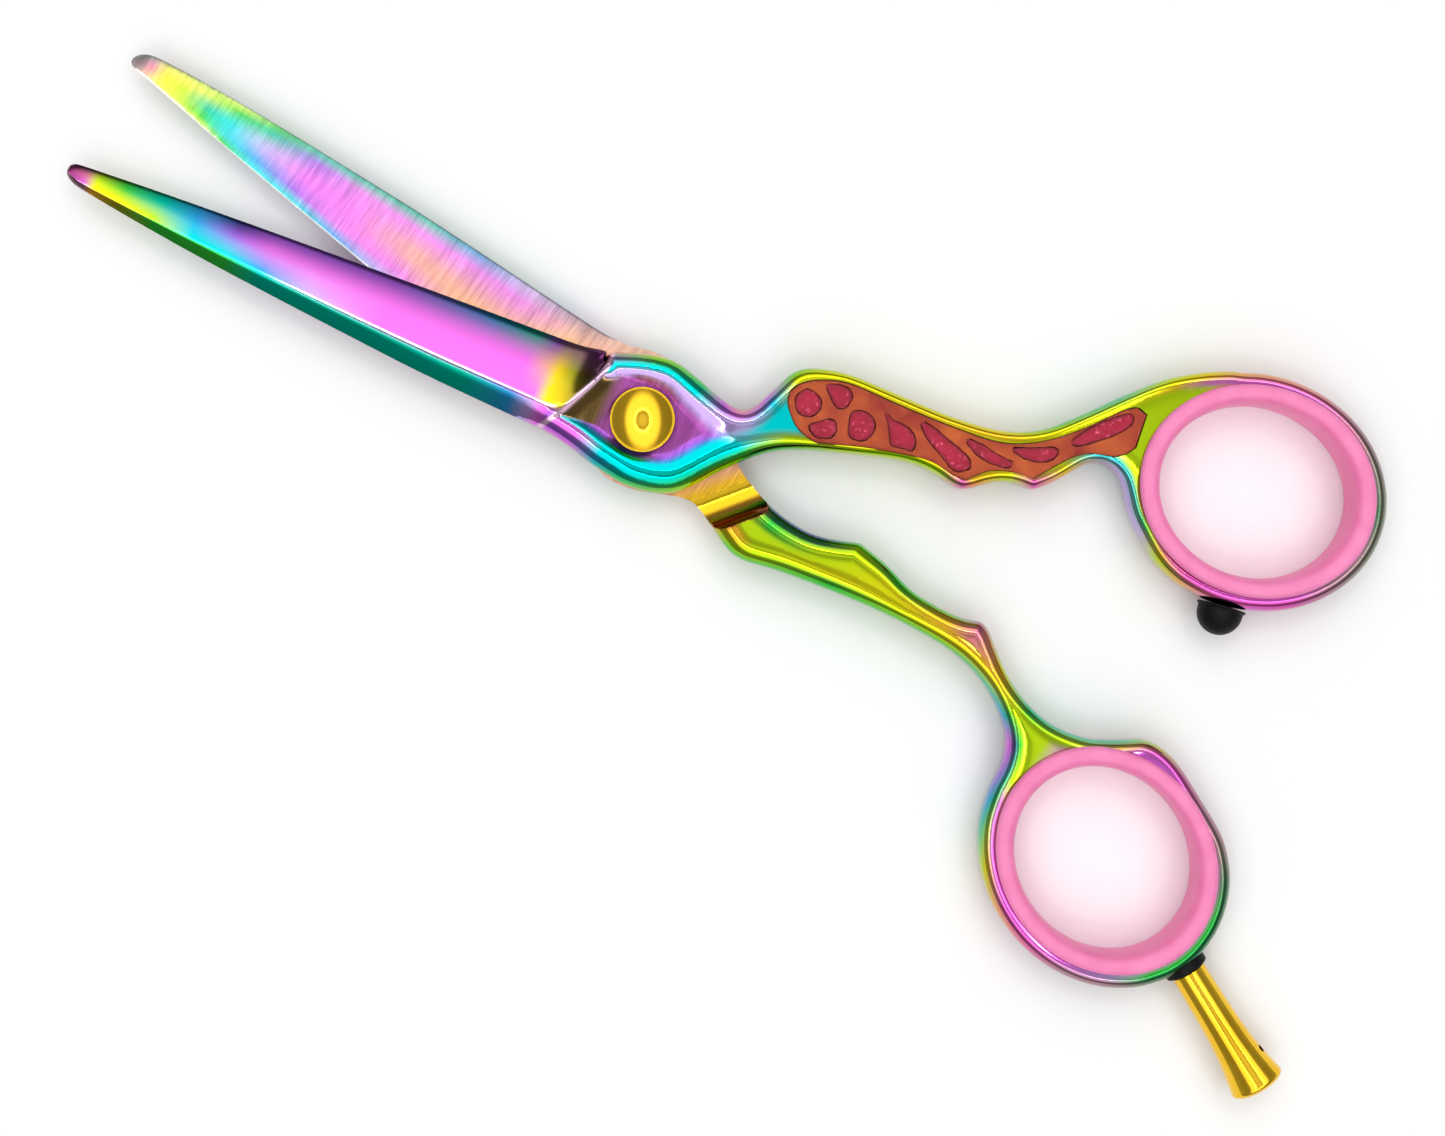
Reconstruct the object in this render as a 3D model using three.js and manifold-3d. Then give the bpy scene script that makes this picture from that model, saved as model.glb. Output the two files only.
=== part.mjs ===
// Hairdressing shears, built as an assembly of loose pieces.
//
// Units are millimetres. The origin is on the pivot axis, in the flat underside of the tension nut,
// which lies in the plane that the shears rest on. +Z points up out of the pivot screw's head, and +X
// points from the pivot towards the finger rings, along the line that halves the opening. The blade
// tips are at -X.
//
// Each half is described in a frame of its own: the pivot axis is z, the mating plane of the two
// blades is z = 0, the outer face is up, the tip is at -x and the cutting edge faces +y. The upper half
// is used as it stands. The lower half is the same kind of forging turned over about the x axis.

import * as THREE from 'three';
import { mergeVertices } from 'three/addons/utils/BufferGeometryUtils.js';
import Module from 'manifold-3d';

const wasm = await Module();
wasm.setup();

// ---------------------------------------------------------------- driving dimensions

const MATING_HEIGHT = 3.5;         // the mating plane above the rest plane
const HALF_OPENING = 5.87;         // degrees that each half is turned away from the closed line
const CLEARANCE = 0.05;            // running gap between pieces that touch

const HANDLE_HALF = 2.6;           // half the thickness of the handles and rings
const HANDLE_ROUNDING = 0.9;       // rounding of the handle's edges
const BLADE_HEEL_THICKNESS = 2.5;  // blade at its heel, over the ridge
const BLADE_TIP_THICKNESS = 0.8;   // blade at its tip, over the ridge
const EDGE_LAND = 0.12;            // height of the honed land along the cutting edge
const RIDGE_PLACE = 0.76;          // the ridge's place across the blade, from the edge to the spine
const SPINE_DROP = 0.5;            // height of the spine as a share of the ridge's

const RAMP_ANGLE = 34;             // degrees that the handle's inner ramp is turned from the x axis
const RAMP_START = 9.2;            // distance from the pivot axis to where the ramp starts
const RAMP_RADIUS = 4;             // radius of the ramp's concave fillet

const EYE_DEPTH = 0.6;             // depth of the recess round the pivot
const SCREW_RADIUS = 1.9;
const SLEEVE_WALL = 0.65;
const BLADE_WASHER_RADIUS = 4.2;
const BLADE_WASHER_SEAT = 0.25;    // depth of the washer's seat in each half

const RING_BORE = 11.3;            // long half axis of the hole that holds the liner
const RING_RATIO = 0.88;           // short half axis of every ring ellipse over its long one
const LINER_HALF = 3.5;            // half the liner's thickness
const LINER_FLANGE = 11.95;        // long half axis of the liner's flanges
const FINGER_HOLE = 9.75;          // long half axis of the finger hole

const POCKET_FLOOR = 1.6;          // height of the inlay pocket's floor
const STUD_RADIUS = 1.2;

const OUTLINE_STEP = 1.3;          // spacing of points along a curved outline
const CIRCLE_STEPS = 28;           // sides of a small round piece
const OVAL_STEPS = 48;             // sides of a ring or liner

const degrees = THREE.MathUtils.degToRad;

// ---------------------------------------------------------------- outlines

// Blade outlines, as the cutting edge's and the spine's y at places along x.
const UPPER_BLADE = [
  { x: -63.3, edge: 0.6, spine: 0.1 },
  { x: -62.9, edge: 1.0, spine: -0.45 },
  { x: -62.0, edge: 1.15, spine: -0.9 },
  { x: -59.0, edge: 1.4, spine: -1.35 },
  { x: -54.0, edge: 1.8, spine: -1.95 },
  { x: -46.0, edge: 2.35, spine: -2.75 },
  { x: -38.0, edge: 2.85, spine: -3.35 },
  { x: -30.0, edge: 3.3, spine: -3.95 },
  { x: -22.0, edge: 3.75, spine: -4.45 },
  { x: -14.0, edge: 4.17, spine: -4.7 },
  { x: -8.6, edge: 4.5, spine: -4.85 },
  { x: -6.0, edge: 4.9, spine: -5.2 },
];
const LOWER_BLADE = [
  { x: -63.1, edge: 0.2, spine: -0.4 },
  { x: -62.8, edge: 0.4, spine: -0.9 },
  { x: -62.0, edge: 0.45, spine: -1.5 },
  { x: -59.0, edge: 0.75, spine: -2.05 },
  { x: -54.0, edge: 1.3, spine: -2.6 },
  { x: -46.0, edge: 2.05, spine: -3.25 },
  { x: -38.0, edge: 2.75, spine: -3.75 },
  { x: -30.0, edge: 3.4, spine: -4.2 },
  { x: -22.0, edge: 3.8, spine: -4.45 },
  { x: -14.0, edge: 4.2, spine: -4.7 },
  { x: -8.6, edge: 4.5, spine: -4.9 },
  { x: -6.0, edge: 4.9, spine: -5.2 },
];

// Finger rings: the ellipse's centre, its tilt and the stretch of it that the outline follows.
const UPPER_RING = { centre: [59.15, 17.8], outer: 13.4, tilt: 4, from: 112, to: -113 };
const LOWER_RING = { centre: [63.15, 9.3], outer: 13.6, tilt: 16, from: 145, to: -48 };

// The shank and handle, from the heel of the cutting edge along that side to the ring, and back along
// the other side to the spine. A new list starts where the outline has a corner.
const UPPER_EDGE_SIDE = [
  [-5.8, 4.9], [-3.5, 5.9], [-1, 6.6], [1.1, 6.7], [3.6, 6.0], [6.2, 5.2], [8, 4.85], [9.4, 5.3],
  [10.6, 7.6], [11.9, 10.4], [13.8, 11.7], [17.3, 12.5], [22.8, 12.6], [28.3, 12.7], [33.4, 13.4],
  [37.1, 15.1], [40.2, 18.1], [43.2, 21.4], [46.3, 24.5], [49.7, 26.8], [53.3, 28.5],
];
const UPPER_NOTCH = [
  [54.68, 6.6], [53.2, 7.2], [51.7, 8.1], [50.1, 9.4], [48.5, 10.8], [47.3, 12.4], [46.2, 13.7],
  [44.4, 14.4], [42.6, 13.7], [41.2, 11.9], [40, 10.4], [38.6, 9.1],
];
const UPPER_SCALLOP = [[38.6, 9.1], [36.5, 9.0], [34.6, 8.2], [33, 6.9], [32, 6.3]];
const UPPER_SPINE_SIDE = [
  [32, 6.3], [30.4, 6.4], [28.6, 6.8], [25.4, 6.6], [20.5, 5.2], [15.7, 3.6], [12.6, 1.9],
  [9.5, -1.2], [6.6, -4.7], [4.5, -6], [2.4, -6.5], [0.3, -6.6], [-3.3, -6], [-5.5, -5.4], [-8, -4.9],
];
const LOWER_EDGE_SIDE = [
  [-5.8, 4.9], [-3.5, 5.9], [-1, 6.6], [1.1, 6.7], [3.6, 6.0], [6.2, 4.7], [8.2, 3.85], [9.6, 3.95],
  [11.5, 4.6], [13.5, 5.4], [15.4, 5.8], [17.2, 5.4], [19.5, 4.6], [22.1, 3.9], [27.4, 2.6],
  [32.8, 1.6], [38.7, 1.1], [42.9, 1.8], [46.2, 3.4], [48.3, 5.3], [49.3, 7.4], [49.7, 9.9],
];
const LOWER_CORNER = [
  [74.35, 3.26], [73.1, 1.9], [71.7, 0.75], [69.9, -0.2], [67.8, -1.1], [65.7, -2], [63.9, -2.7],
  [62.4, -3.05], [61, -3.1], [59.6, -2.8], [58.2, -1.8], [56.4, -0.5], [54.4, 0.6], [51.2, 1.3],
  [47.9, 1], [44.8, -0.1], [42.1, -1.7], [40.6, -2.7], [39.4, -3.1],
];
const LOWER_SCALLOP = [[39.4, -3.1], [37.8, -2.3], [35.4, -1.8], [31.8, -1.6], [28.6, -2.2], [24.8, -2.5]];
const LOWER_SPINE_SIDE = [
  [24.8, -2.5], [23, -1.5], [20.5, -0.5], [17.7, -0.2], [15.1, -0.4], [12.7, -1], [10.5, -1.8],
  [8, -3.4], [5.2, -5.4], [2.5, -6.4], [-0.6, -6.7], [-3.6, -6.2], [-5.5, -5.4], [-8, -4.95],
];

// Recess round the pivot, pointed at the blade's spine and at the neck.
const EYE_EDGE_SIDE = [
  [-7.7, -3], [-6.9, -1.2], [-6, 0.9], [-4.8, 2.6], [-2.5, 3.3], [1.5, 3.2], [5, 2.8], [9.6, 2.3],
];
const EYE_SPINE_SIDE = [
  [9.6, 2.3], [7.7, -0.2], [4.5, -2.8], [1.5, -3.85], [-1.5, -4], [-4.6, -3.55], [-7.7, -3],
];

// Inlay pocket in the upper handle, and the glitter fields let into the inlay bed.
const POCKET_OUTLINE = [
  [[16.75, 4.75], [14.7, 5.2], [13, 6.7], [12.3, 8.1], [13, 9.6], [14.8, 10.8], [17.65, 11.6], [23, 11.6],
    [28.45, 11.7], [33.7, 12.2], [37.35, 13.85], [40.5, 16.5], [43.5, 19.8], [44.9, 20.8], [46.05, 20.5]],
  [[46.05, 20.5], [46.35, 17]],
  [[46.35, 17], [45.2, 15.5], [43.4, 14.95], [42, 14.45], [40.8, 13.45], [39.3, 11.6], [38.15, 10]],
  [[38.15, 10], [36.35, 9.9], [34.8, 9.5], [33.5, 8.8], [32, 7.2]],
  [[32, 7.2], [30.4, 7.2], [29.1, 7.5], [26.95, 7.5], [22, 6.4], [19.1, 5.5], [16.75, 4.75]],
];
const GLITTER_FIELDS = [
  [[13.2, 8.2], [13.8, 9.3], [15, 9.2], [15.8, 8.4], [15.5, 7.3], [14.7, 6.8], [13.7, 7.1]],
  [[15.4, 10.5], [16.7, 11], [17.9, 10.9], [18.3, 10.1], [18, 9.1], [17.3, 8.9], [16.3, 9.7]],
  [[15.5, 6.1], [16.5, 7], [17.3, 7.5], [18, 7.1], [18.1, 6.1], [17.6, 5.7], [16.4, 5.4]],
  [[18.9, 9], [19.8, 9.5], [21, 9.3], [21.6, 8.3], [21.3, 7.2], [20.5, 6.7], [19.4, 7]],
  [[21.9, 10.4], [23, 9.9], [24.5, 9.8], [25.7, 9.1], [25.9, 7.9], [24.9, 7.8], [23.8, 7.6], [23, 9]],
  [[25.6, 10.9], [27, 10.8], [29, 10.2], [31, 9.6], [31.9, 8.8], [31.4, 8.1], [30.4, 7.8], [28.7, 8.7],
    [26.6, 9.8]],
  [[30.4, 11.1], [32, 11.2], [33.8, 10.9], [35.7, 10.7], [35.2, 10.1], [33.5, 9.9], [31.6, 10.3]],
  [[35, 12], [37, 12.9], [39, 13.8], [39.4, 13.2], [38.8, 12.4], [37.9, 11.9], [36.3, 11.7]],
  [[40.1, 14.9], [41.2, 16.7], [42.8, 18.5], [44.5, 19.9], [45, 19.3], [44.4, 18], [42.9, 16.5], [41, 15]],
];

// ---------------------------------------------------------------- outline helpers

const toVectors = (points) => points.map(([x, y]) => new THREE.Vector2(x, y));

// Evenly spaced points on a smooth curve through the given points.
function smooth(points, step = OUTLINE_STEP) {
  const curve = new THREE.SplineCurve(toVectors(points));
  return curve.getSpacedPoints(Math.ceil(curve.getLength() / step));
}

function ringArc(ring) {
  const curve = new THREE.EllipseCurve(ring.centre[0], ring.centre[1], ring.outer, ring.outer * RING_RATIO,
    degrees(ring.from), degrees(ring.to), true, degrees(ring.tilt));
  return curve.getSpacedPoints(Math.ceil(curve.getLength() / (1.2 * OUTLINE_STEP)));
}

// One outline from stretches that follow each other; a point met twice is kept once.
function joined(...stretches) {
  const all = stretches.flat();
  return all.filter((point, i) => point.distanceTo(all[(i + 1) % all.length]) > 0.2);
}

// The outline moved inwards by a distance; a negative distance moves it outwards.
function inset(points, distance) {
  const turn = Math.sign(THREE.ShapeUtils.area(points));
  return points.map((point, i) => {
    const before = points[(i + points.length - 1) % points.length];
    const after = points[(i + 1) % points.length];
    const along = after.clone().sub(before).normalize();
    const inwards = new THREE.Vector2(-along.y, along.x).multiplyScalar(turn * distance);
    return point.clone().add(inwards);
  });
}

// ---------------------------------------------------------------- solid helpers

function toSolid(geometry) {
  const bare = geometry.index ? geometry.toNonIndexed() : geometry.clone();
  bare.deleteAttribute('normal');
  bare.deleteAttribute('uv');
  const merged = mergeVertices(bare, 1e-5);
  return new wasm.Manifold(new wasm.Mesh({
    numProp: 3,
    vertProperties: new Float32Array(merged.attributes.position.array),
    triVerts: new Uint32Array(merged.index.array),
  }));
}

function toGeometry(solid) {
  const mesh = solid.getMesh();
  const geometry = new THREE.BufferGeometry();
  geometry.setAttribute('position', new THREE.BufferAttribute(mesh.vertProperties, 3));
  geometry.setIndex(new THREE.BufferAttribute(mesh.triVerts, 1));
  geometry.computeVertexNormals();
  return geometry;
}

// A plate between two heights, with its edges rounded where a rounding is given.
function plate(points, low, high, rounding = 0) {
  const geometry = new THREE.ExtrudeGeometry(new THREE.Shape(points), {
    depth: high - low - 2 * rounding,
    bevelEnabled: rounding > 0,
    bevelThickness: rounding,
    bevelSize: rounding,
    bevelOffset: -rounding,
    bevelSegments: 2,
  });
  return geometry.translate(0, 0, low + rounding);
}

function rod(radius, low, high, steps = CIRCLE_STEPS) {
  const geometry = new THREE.CylinderGeometry(radius, radius, high - low, steps);
  return geometry.rotateX(Math.PI / 2).translate(0, 0, (low + high) / 2);
}

// A body of revolution about z, from [radius, height] pairs.
function turned(profile, steps = CIRCLE_STEPS) {
  const points = profile.map(([radius, height]) => new THREE.Vector2(radius, height));
  return new THREE.LatheGeometry(points, steps).rotateX(Math.PI / 2);
}

// A flat washer with small chamfers.
function washer(inner, outer, low, high, chamfer = 0.06) {
  return turned([
    [inner, low], [outer - chamfer, low], [outer, low + chamfer], [outer, high - chamfer],
    [outer - chamfer, high], [inner, high], [inner, low],
  ]);
}

// A closed skin over cross-sections that follow each other along +x. Each section is a list of [y, z],
// counter-clockwise as seen from +x.
function loft(sections) {
  const sides = sections[0].ring.length;
  const vertices = sections.flatMap(({ x, ring }) => ring.map(([y, z]) => [x, y, z]));
  const triangles = [];
  for (let i = 0; i + 1 < sections.length; i += 1) {
    for (let j = 0; j < sides; j += 1) {
      const a = i * sides + j;
      const b = i * sides + ((j + 1) % sides);
      triangles.push(a, b, a + sides, b, b + sides, a + sides);
    }
  }
  const last = (sections.length - 1) * sides;
  for (let j = 1; j + 1 < sides; j += 1) {
    triangles.push(0, j + 1, j);
    triangles.push(last, last + j, last + j + 1);
  }
  const geometry = new THREE.BufferGeometry();
  geometry.setAttribute('position', new THREE.Float32BufferAttribute(vertices.flat(), 3));
  geometry.setIndex(triangles);
  return geometry;
}

// ---------------------------------------------------------------- the two forgings

// The blade, whose outer face falls from a ridge to the cutting edge on one side and the spine on the
// other, and which thins towards the tip.
function bladeSolid(stations) {
  const tip = stations[0].x;
  const heel = stations[stations.length - 1].x;
  const sections = stations.map(({ x, edge, spine }) => {
    const share = (x - tip) / (heel - tip);
    const thickness = BLADE_TIP_THICKNESS + share * (BLADE_HEEL_THICKNESS - BLADE_TIP_THICKNESS);
    const ridge = edge + RIDGE_PLACE * (spine - edge);
    return {
      x,
      ring: [
        [spine, CLEARANCE], [edge, CLEARANCE], [edge, CLEARANCE + EDGE_LAND],
        [ridge, CLEARANCE + thickness], [spine, CLEARANCE + SPINE_DROP * thickness],
      ],
    };
  });
  return toSolid(loft(sections));
}

// What is cut from under the shank, so that the two halves pass each other: flat from the blade to the
// ramp, then a concave fillet down to the handle's inner face.
function innerCut() {
  const profile = new THREE.Shape();
  const depth = RAMP_RADIUS + 1;
  profile.moveTo(-16, CLEARANCE);
  profile.lineTo(-16, -depth);
  profile.lineTo(RAMP_START + RAMP_RADIUS, -depth);
  profile.lineTo(RAMP_START + RAMP_RADIUS, CLEARANCE - RAMP_RADIUS);
  profile.absarc(RAMP_START, CLEARANCE - RAMP_RADIUS, RAMP_RADIUS, 0, Math.PI / 2, false);
  const width = 40;
  const block = { depth: width, bevelEnabled: false, curveSegments: 5 };
  const geometry = new THREE.ExtrudeGeometry(profile, block).translate(0, 0, -width / 2);
  return toSolid(geometry.rotateX(Math.PI / 2).rotateZ(degrees(RAMP_ANGLE)));
}

function ringEllipse(ring, halfAxis) {
  const curve = new THREE.EllipseCurve(ring.centre[0], ring.centre[1], halfAxis, halfAxis * RING_RATIO,
    0, 2 * Math.PI, false, degrees(ring.tilt));
  return curve.getPoints(OVAL_STEPS).slice(1);
}

// A whole half, less what only one of the two has.
function forging(blade, outline, ring, boreRadius) {
  const body = toSolid(plate(outline, -HANDLE_HALF, HANDLE_HALF, HANDLE_ROUNDING));
  const eye = joined(smooth(EYE_EDGE_SIDE), smooth(EYE_SPINE_SIDE));
  return body
    .subtract(toSolid(plate(ringEllipse(ring, RING_BORE), -HANDLE_HALF - 1, HANDLE_HALF + 1)))
    .subtract(innerCut())
    .add(bladeSolid(blade))
    .subtract(toSolid(plate(eye, HANDLE_HALF - EYE_DEPTH, HANDLE_HALF + 1)))
    .subtract(toSolid(rod(boreRadius, -HANDLE_HALF, HANDLE_HALF + 1)))
    .subtract(toSolid(rod(BLADE_WASHER_RADIUS + CLEARANCE, -1, BLADE_WASHER_SEAT)));
}

const upperOutline = joined(smooth(UPPER_EDGE_SIDE), ringArc(UPPER_RING), smooth(UPPER_NOTCH),
  smooth(UPPER_SCALLOP), smooth(UPPER_SPINE_SIDE));
const lowerOutline = joined(smooth(LOWER_EDGE_SIDE), ringArc(LOWER_RING), smooth(LOWER_CORNER),
  smooth(LOWER_SCALLOP), smooth(LOWER_SPINE_SIDE));
const pocketOutline = joined(...POCKET_OUTLINE.map((stretch) => smooth(stretch)));

// Places on the rings where something is fastened from outside: the seat's centre and its direction.
const BUMPER_SEAT = { at: [60.85, 6.1], direction: -83, radius: 2.55 };
const REST_SEAT = { at: [75.5, 13.15], direction: 23.2, radius: 2.35 };

// Turns geometry built along +z so that it leaves a seat along the seat's direction.
function onSeat(geometry, seat) {
  geometry.rotateY(Math.PI / 2).rotateZ(degrees(seat.direction));
  return geometry.translate(seat.at[0], seat.at[1], 0);
}

// The flat spot and the hole behind it that a seat needs.
function seatCut(seat, holeRadius, holeDepth) {
  const spot = toSolid(onSeat(rod(seat.radius, 0, 4, 24), seat));
  return spot.add(toSolid(onSeat(rod(holeRadius, -holeDepth, 1, 24), seat)));
}

function upperHalf() {
  const bore = SCREW_RADIUS + 2 * CLEARANCE + SLEEVE_WALL;
  const solid = forging(UPPER_BLADE, upperOutline, UPPER_RING, bore)
    .subtract(toSolid(plate(pocketOutline, POCKET_FLOOR, HANDLE_HALF + 1)))
    .subtract(seatCut(BUMPER_SEAT, 1.05, 1.6));
  return toGeometry(solid);
}

function lowerHalf() {
  const solid = forging(LOWER_BLADE, lowerOutline, LOWER_RING, SCREW_RADIUS + CLEARANCE)
    .subtract(seatCut(REST_SEAT, STUD_RADIUS + CLEARANCE, 1.5));
  return toGeometry(solid);
}

// ---------------------------------------------------------------- inlay

const BED_TOP = 2.15;
const FIELD_FLOOR = 1.8;
const RESIN_TOP = 2.68;

function inlayBed() {
  const bed = toSolid(plate(inset(pocketOutline, 2 * CLEARANCE), POCKET_FLOOR + CLEARANCE, BED_TOP));
  return toGeometry(GLITTER_FIELDS.reduce((left, field) => {
    const hole = inset(smooth([...field, field[0]], 0.7).slice(1), -CLEARANCE);
    return left.subtract(toSolid(plate(hole, FIELD_FLOOR, BED_TOP + 1)));
  }, bed));
}

function glitterField(field) {
  return plate(smooth([...field, field[0]], 0.7).slice(1), FIELD_FLOOR + CLEARANCE, BED_TOP);
}

function inlayResin() {
  return plate(inset(pocketOutline, 2 * CLEARANCE), BED_TOP + CLEARANCE, RESIN_TOP);
}

// ---------------------------------------------------------------- pivot

const EYE_FLOOR = HANDLE_HALF - EYE_DEPTH;
const SLEEVE_FLANGE_TOP = EYE_FLOOR + 0.35;
const SPRING_TOP = SLEEVE_FLANGE_TOP + 0.4;
const HEAD_WASHER_TOP = SPRING_TOP + 0.3;
const HEAD_RADIUS = 3.0;
const HEAD_TOP = 4.5;
const NUT_RADIUS = 3.2;
const NUT_CAP = 0.6;
const NUT_PIN_HOLE = 0.4;
const SCREW_END = -MATING_HEIGHT + NUT_CAP + 0.1;

// The head is a low dome with a rounded rim; the shank reaches down into the nut.
function pivotScrew() {
  const seat = HEAD_WASHER_TOP + CLEARANCE;
  const rim = seat + 0.55;
  const dome = [];
  for (let i = 1; i <= 6; i += 1) {
    const angle = (i / 6) * (Math.PI / 2);
    dome.push([HEAD_RADIUS * Math.cos(angle), rim + (HEAD_TOP - rim) * Math.sin(angle)]);
  }
  dome[dome.length - 1][0] = 0;
  return turned([
    [0, SCREW_END], [SCREW_RADIUS - 0.3, SCREW_END], [SCREW_RADIUS, SCREW_END + 0.3], [SCREW_RADIUS, seat],
    [HEAD_RADIUS - 0.15, seat], [HEAD_RADIUS, seat + 0.15], [HEAD_RADIUS, rim], ...dome,
  ]);
}

// A slightly coned washer.
function springWasher() {
  const low = SLEEVE_FLANGE_TOP + CLEARANCE;
  const inner = SCREW_RADIUS + CLEARANCE;
  const outer = HEAD_RADIUS - 0.1;
  const thickness = 0.2;
  return turned([
    [inner, SPRING_TOP - thickness], [outer, low], [outer, low + thickness], [inner, SPRING_TOP],
    [inner, SPRING_TOP - thickness],
  ]);
}

function headWasher() {
  return washer(SCREW_RADIUS + CLEARANCE, HEAD_RADIUS + 0.25, SPRING_TOP + CLEARANCE, HEAD_WASHER_TOP);
}

// A nylon sleeve in the upper half's bore, with a flange on the recess floor.
function pivotSleeve() {
  const inner = SCREW_RADIUS + CLEARANCE;
  const outer = inner + SLEEVE_WALL;
  const low = BLADE_WASHER_SEAT + CLEARANCE;
  return turned([
    [inner, low], [outer, low], [outer, EYE_FLOOR + CLEARANCE], [HEAD_RADIUS, EYE_FLOOR + CLEARANCE],
    [HEAD_RADIUS, SLEEVE_FLANGE_TOP], [inner, SLEEVE_FLANGE_TOP], [inner, low],
  ]);
}

function bladeWasher() {
  const half = BLADE_WASHER_SEAT - CLEARANCE / 2;
  return washer(SCREW_RADIUS + CLEARANCE, BLADE_WASHER_RADIUS, -half, half);
}

// A cap nut in the lower half's recess. Its two small holes take a pin key.
function tensionNut() {
  const top = -EYE_FLOOR - CLEARANCE;
  const bore = SCREW_RADIUS + CLEARANCE;
  const bottom = -MATING_HEIGHT;
  const round = 0.25;
  const body = toSolid(turned([
    [0, bottom], [NUT_RADIUS - round, bottom], [NUT_RADIUS, bottom + round], [NUT_RADIUS, top], [bore, top],
    [bore, bottom + NUT_CAP], [0, bottom + NUT_CAP],
  ]));
  return toGeometry([-1, 1].reduce((left, side) => {
    const hole = rod(NUT_PIN_HOLE, bottom - 1, bottom + 0.8, 16).translate(side * 2.45, 0, 0);
    return left.subtract(toSolid(hole));
  }, body));
}

// ---------------------------------------------------------------- soft parts and finger rest

// An oval liner: a sleeve through the ring with a flange over each face. The finger hole is waisted.
function ringLiner() {
  const sleeve = RING_BORE - CLEARANCE;
  const flangeInside = HANDLE_HALF + CLEARANCE;
  const waist = 0.3;
  const geometry = turned([
    [FINGER_HOLE - waist, 0], [FINGER_HOLE - 0.1, -2.2], [FINGER_HOLE + 0.5, -LINER_HALF],
    [LINER_FLANGE - 0.35, -LINER_HALF], [LINER_FLANGE, -LINER_HALF + 0.35], [LINER_FLANGE, -flangeInside],
    [sleeve, -flangeInside], [sleeve, flangeInside], [LINER_FLANGE, flangeInside],
    [LINER_FLANGE, LINER_HALF - 0.35], [LINER_FLANGE - 0.35, LINER_HALF], [FINGER_HOLE + 0.5, LINER_HALF],
    [FINGER_HOLE - 0.1, 2.2], [FINGER_HOLE - waist, 0],
  ], OVAL_STEPS);
  return geometry.scale(1, RING_RATIO, 1);
}

// A domed rubber stop with a thin lip and a stem that is pushed into the ring.
function bumper() {
  const lip = 0.35;
  const radius = 2.3;
  const height = 3;
  const dome = [];
  for (let i = 1; i <= 6; i += 1) {
    const angle = (i / 6) * (Math.PI / 2);
    dome.push([radius * Math.cos(angle), height - radius + radius * Math.sin(angle)]);
  }
  dome[dome.length - 1][0] = 0;
  return turned([
    [0, -1.4], [1, -1.4], [1, CLEARANCE], [BUMPER_SEAT.radius - CLEARANCE, CLEARANCE],
    [BUMPER_SEAT.radius - CLEARANCE, lip], [radius, lip], [radius, height - radius], ...dome,
  ]);
}

const REST_WASHER_THICKNESS = 1.2;
const REST_LENGTH = 13.9;

function fingerRestWasher() {
  const inner = STUD_RADIUS + CLEARANCE;
  const outer = REST_SEAT.radius - 2 * CLEARANCE;
  return washer(inner, outer, CLEARANCE, REST_WASHER_THICKNESS, 0.2);
}

// A flared tube-like rest with a domed, dimpled end, a blind hole for the stud and a small hole in its side.
function fingerRest() {
  const start = REST_WASHER_THICKNESS + CLEARANCE;
  const end = start + REST_LENGTH;
  const bore = STUD_RADIUS + CLEARANCE;
  const body = toSolid(turned([
    [0, start + 4.4], [bore, start + 4.4], [bore, start], [1.6, start], [1.75, start + 0.15],
    [1.8, start + 2.5], [1.86, start + 5], [1.95, start + 7.2], [2.12, start + 9.2], [2.42, start + 11.2],
    [2.8, start + 13], [2.82, start + 13.25], [2.65, start + 13.5], [1.8, end], [1.15, end],
    [0.95, end - 0.5], [0, end - 0.5],
  ]));
  const sideHole = rod(0.4, 0, 4, 12).rotateX(Math.PI / 2).rotateZ(degrees(20)).translate(0, 0, start + 10.4);
  return toGeometry(body.subtract(toSolid(sideHole)));
}

function fingerRestStud() {
  const chamfer = 0.2;
  return turned([
    [0, -1.45], [STUD_RADIUS - chamfer, -1.45], [STUD_RADIUS, -1.45 + chamfer], [STUD_RADIUS, 5.2],
    [STUD_RADIUS - chamfer, 5.4], [0, 5.4],
  ], 20);
}

// ---------------------------------------------------------------- materials

function finish(color, metalness, roughness) {
  return new THREE.MeshStandardMaterial({ color, metalness, roughness });
}
const rainbowSteel = () => finish(0x7fb23f, 1, 0.15);
const gold = () => finish(0xe0b02c, 1, 0.2);
const steel = () => finish(0xb8bcc2, 1, 0.35);
const pinkSilicone = () => finish(0xf08ab8, 0, 0.45);
const blackRubber = () => finish(0x121212, 0, 0.6);
const nylon = () => finish(0xe8e6de, 0, 0.5);

const clearResin = finish(0xf6ece4, 0, 0.05);
clearResin.transparent = true;
clearResin.opacity = 0.35;

// ---------------------------------------------------------------- assembly

function piece(name, geometry, material) {
  const mesh = new THREE.Mesh(geometry, material);
  mesh.name = name;
  return mesh;
}

// A liner in its ring: made about its own centre, then placed and turned.
function linerOn(name, ring) {
  const mesh = piece(name, ringLiner(), pinkSilicone());
  mesh.position.set(ring.centre[0], ring.centre[1], 0);
  mesh.rotation.z = degrees(ring.tilt);
  return mesh;
}

const shears = new THREE.Group();
shears.position.z = MATING_HEIGHT;

const upper = new THREE.Group();
upper.rotation.z = degrees(HALF_OPENING);
upper.add(
  piece('upper_half', upperHalf(), rainbowSteel()),
  piece('inlay_bed', inlayBed(), finish(0xb8502c, 0, 0.4)),
  piece('inlay_resin', inlayResin(), clearResin),
  linerOn('upper_ring_liner', UPPER_RING),
  piece('bumper', onSeat(bumper(), BUMPER_SEAT), blackRubber()),
  piece('pivot_sleeve', pivotSleeve(), nylon()),
);
GLITTER_FIELDS.forEach((field, i) => {
  upper.add(piece(`inlay_field_${i + 1}`, glitterField(field), finish(0xa81e3a, 0.3, 0.4)));
});

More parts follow.
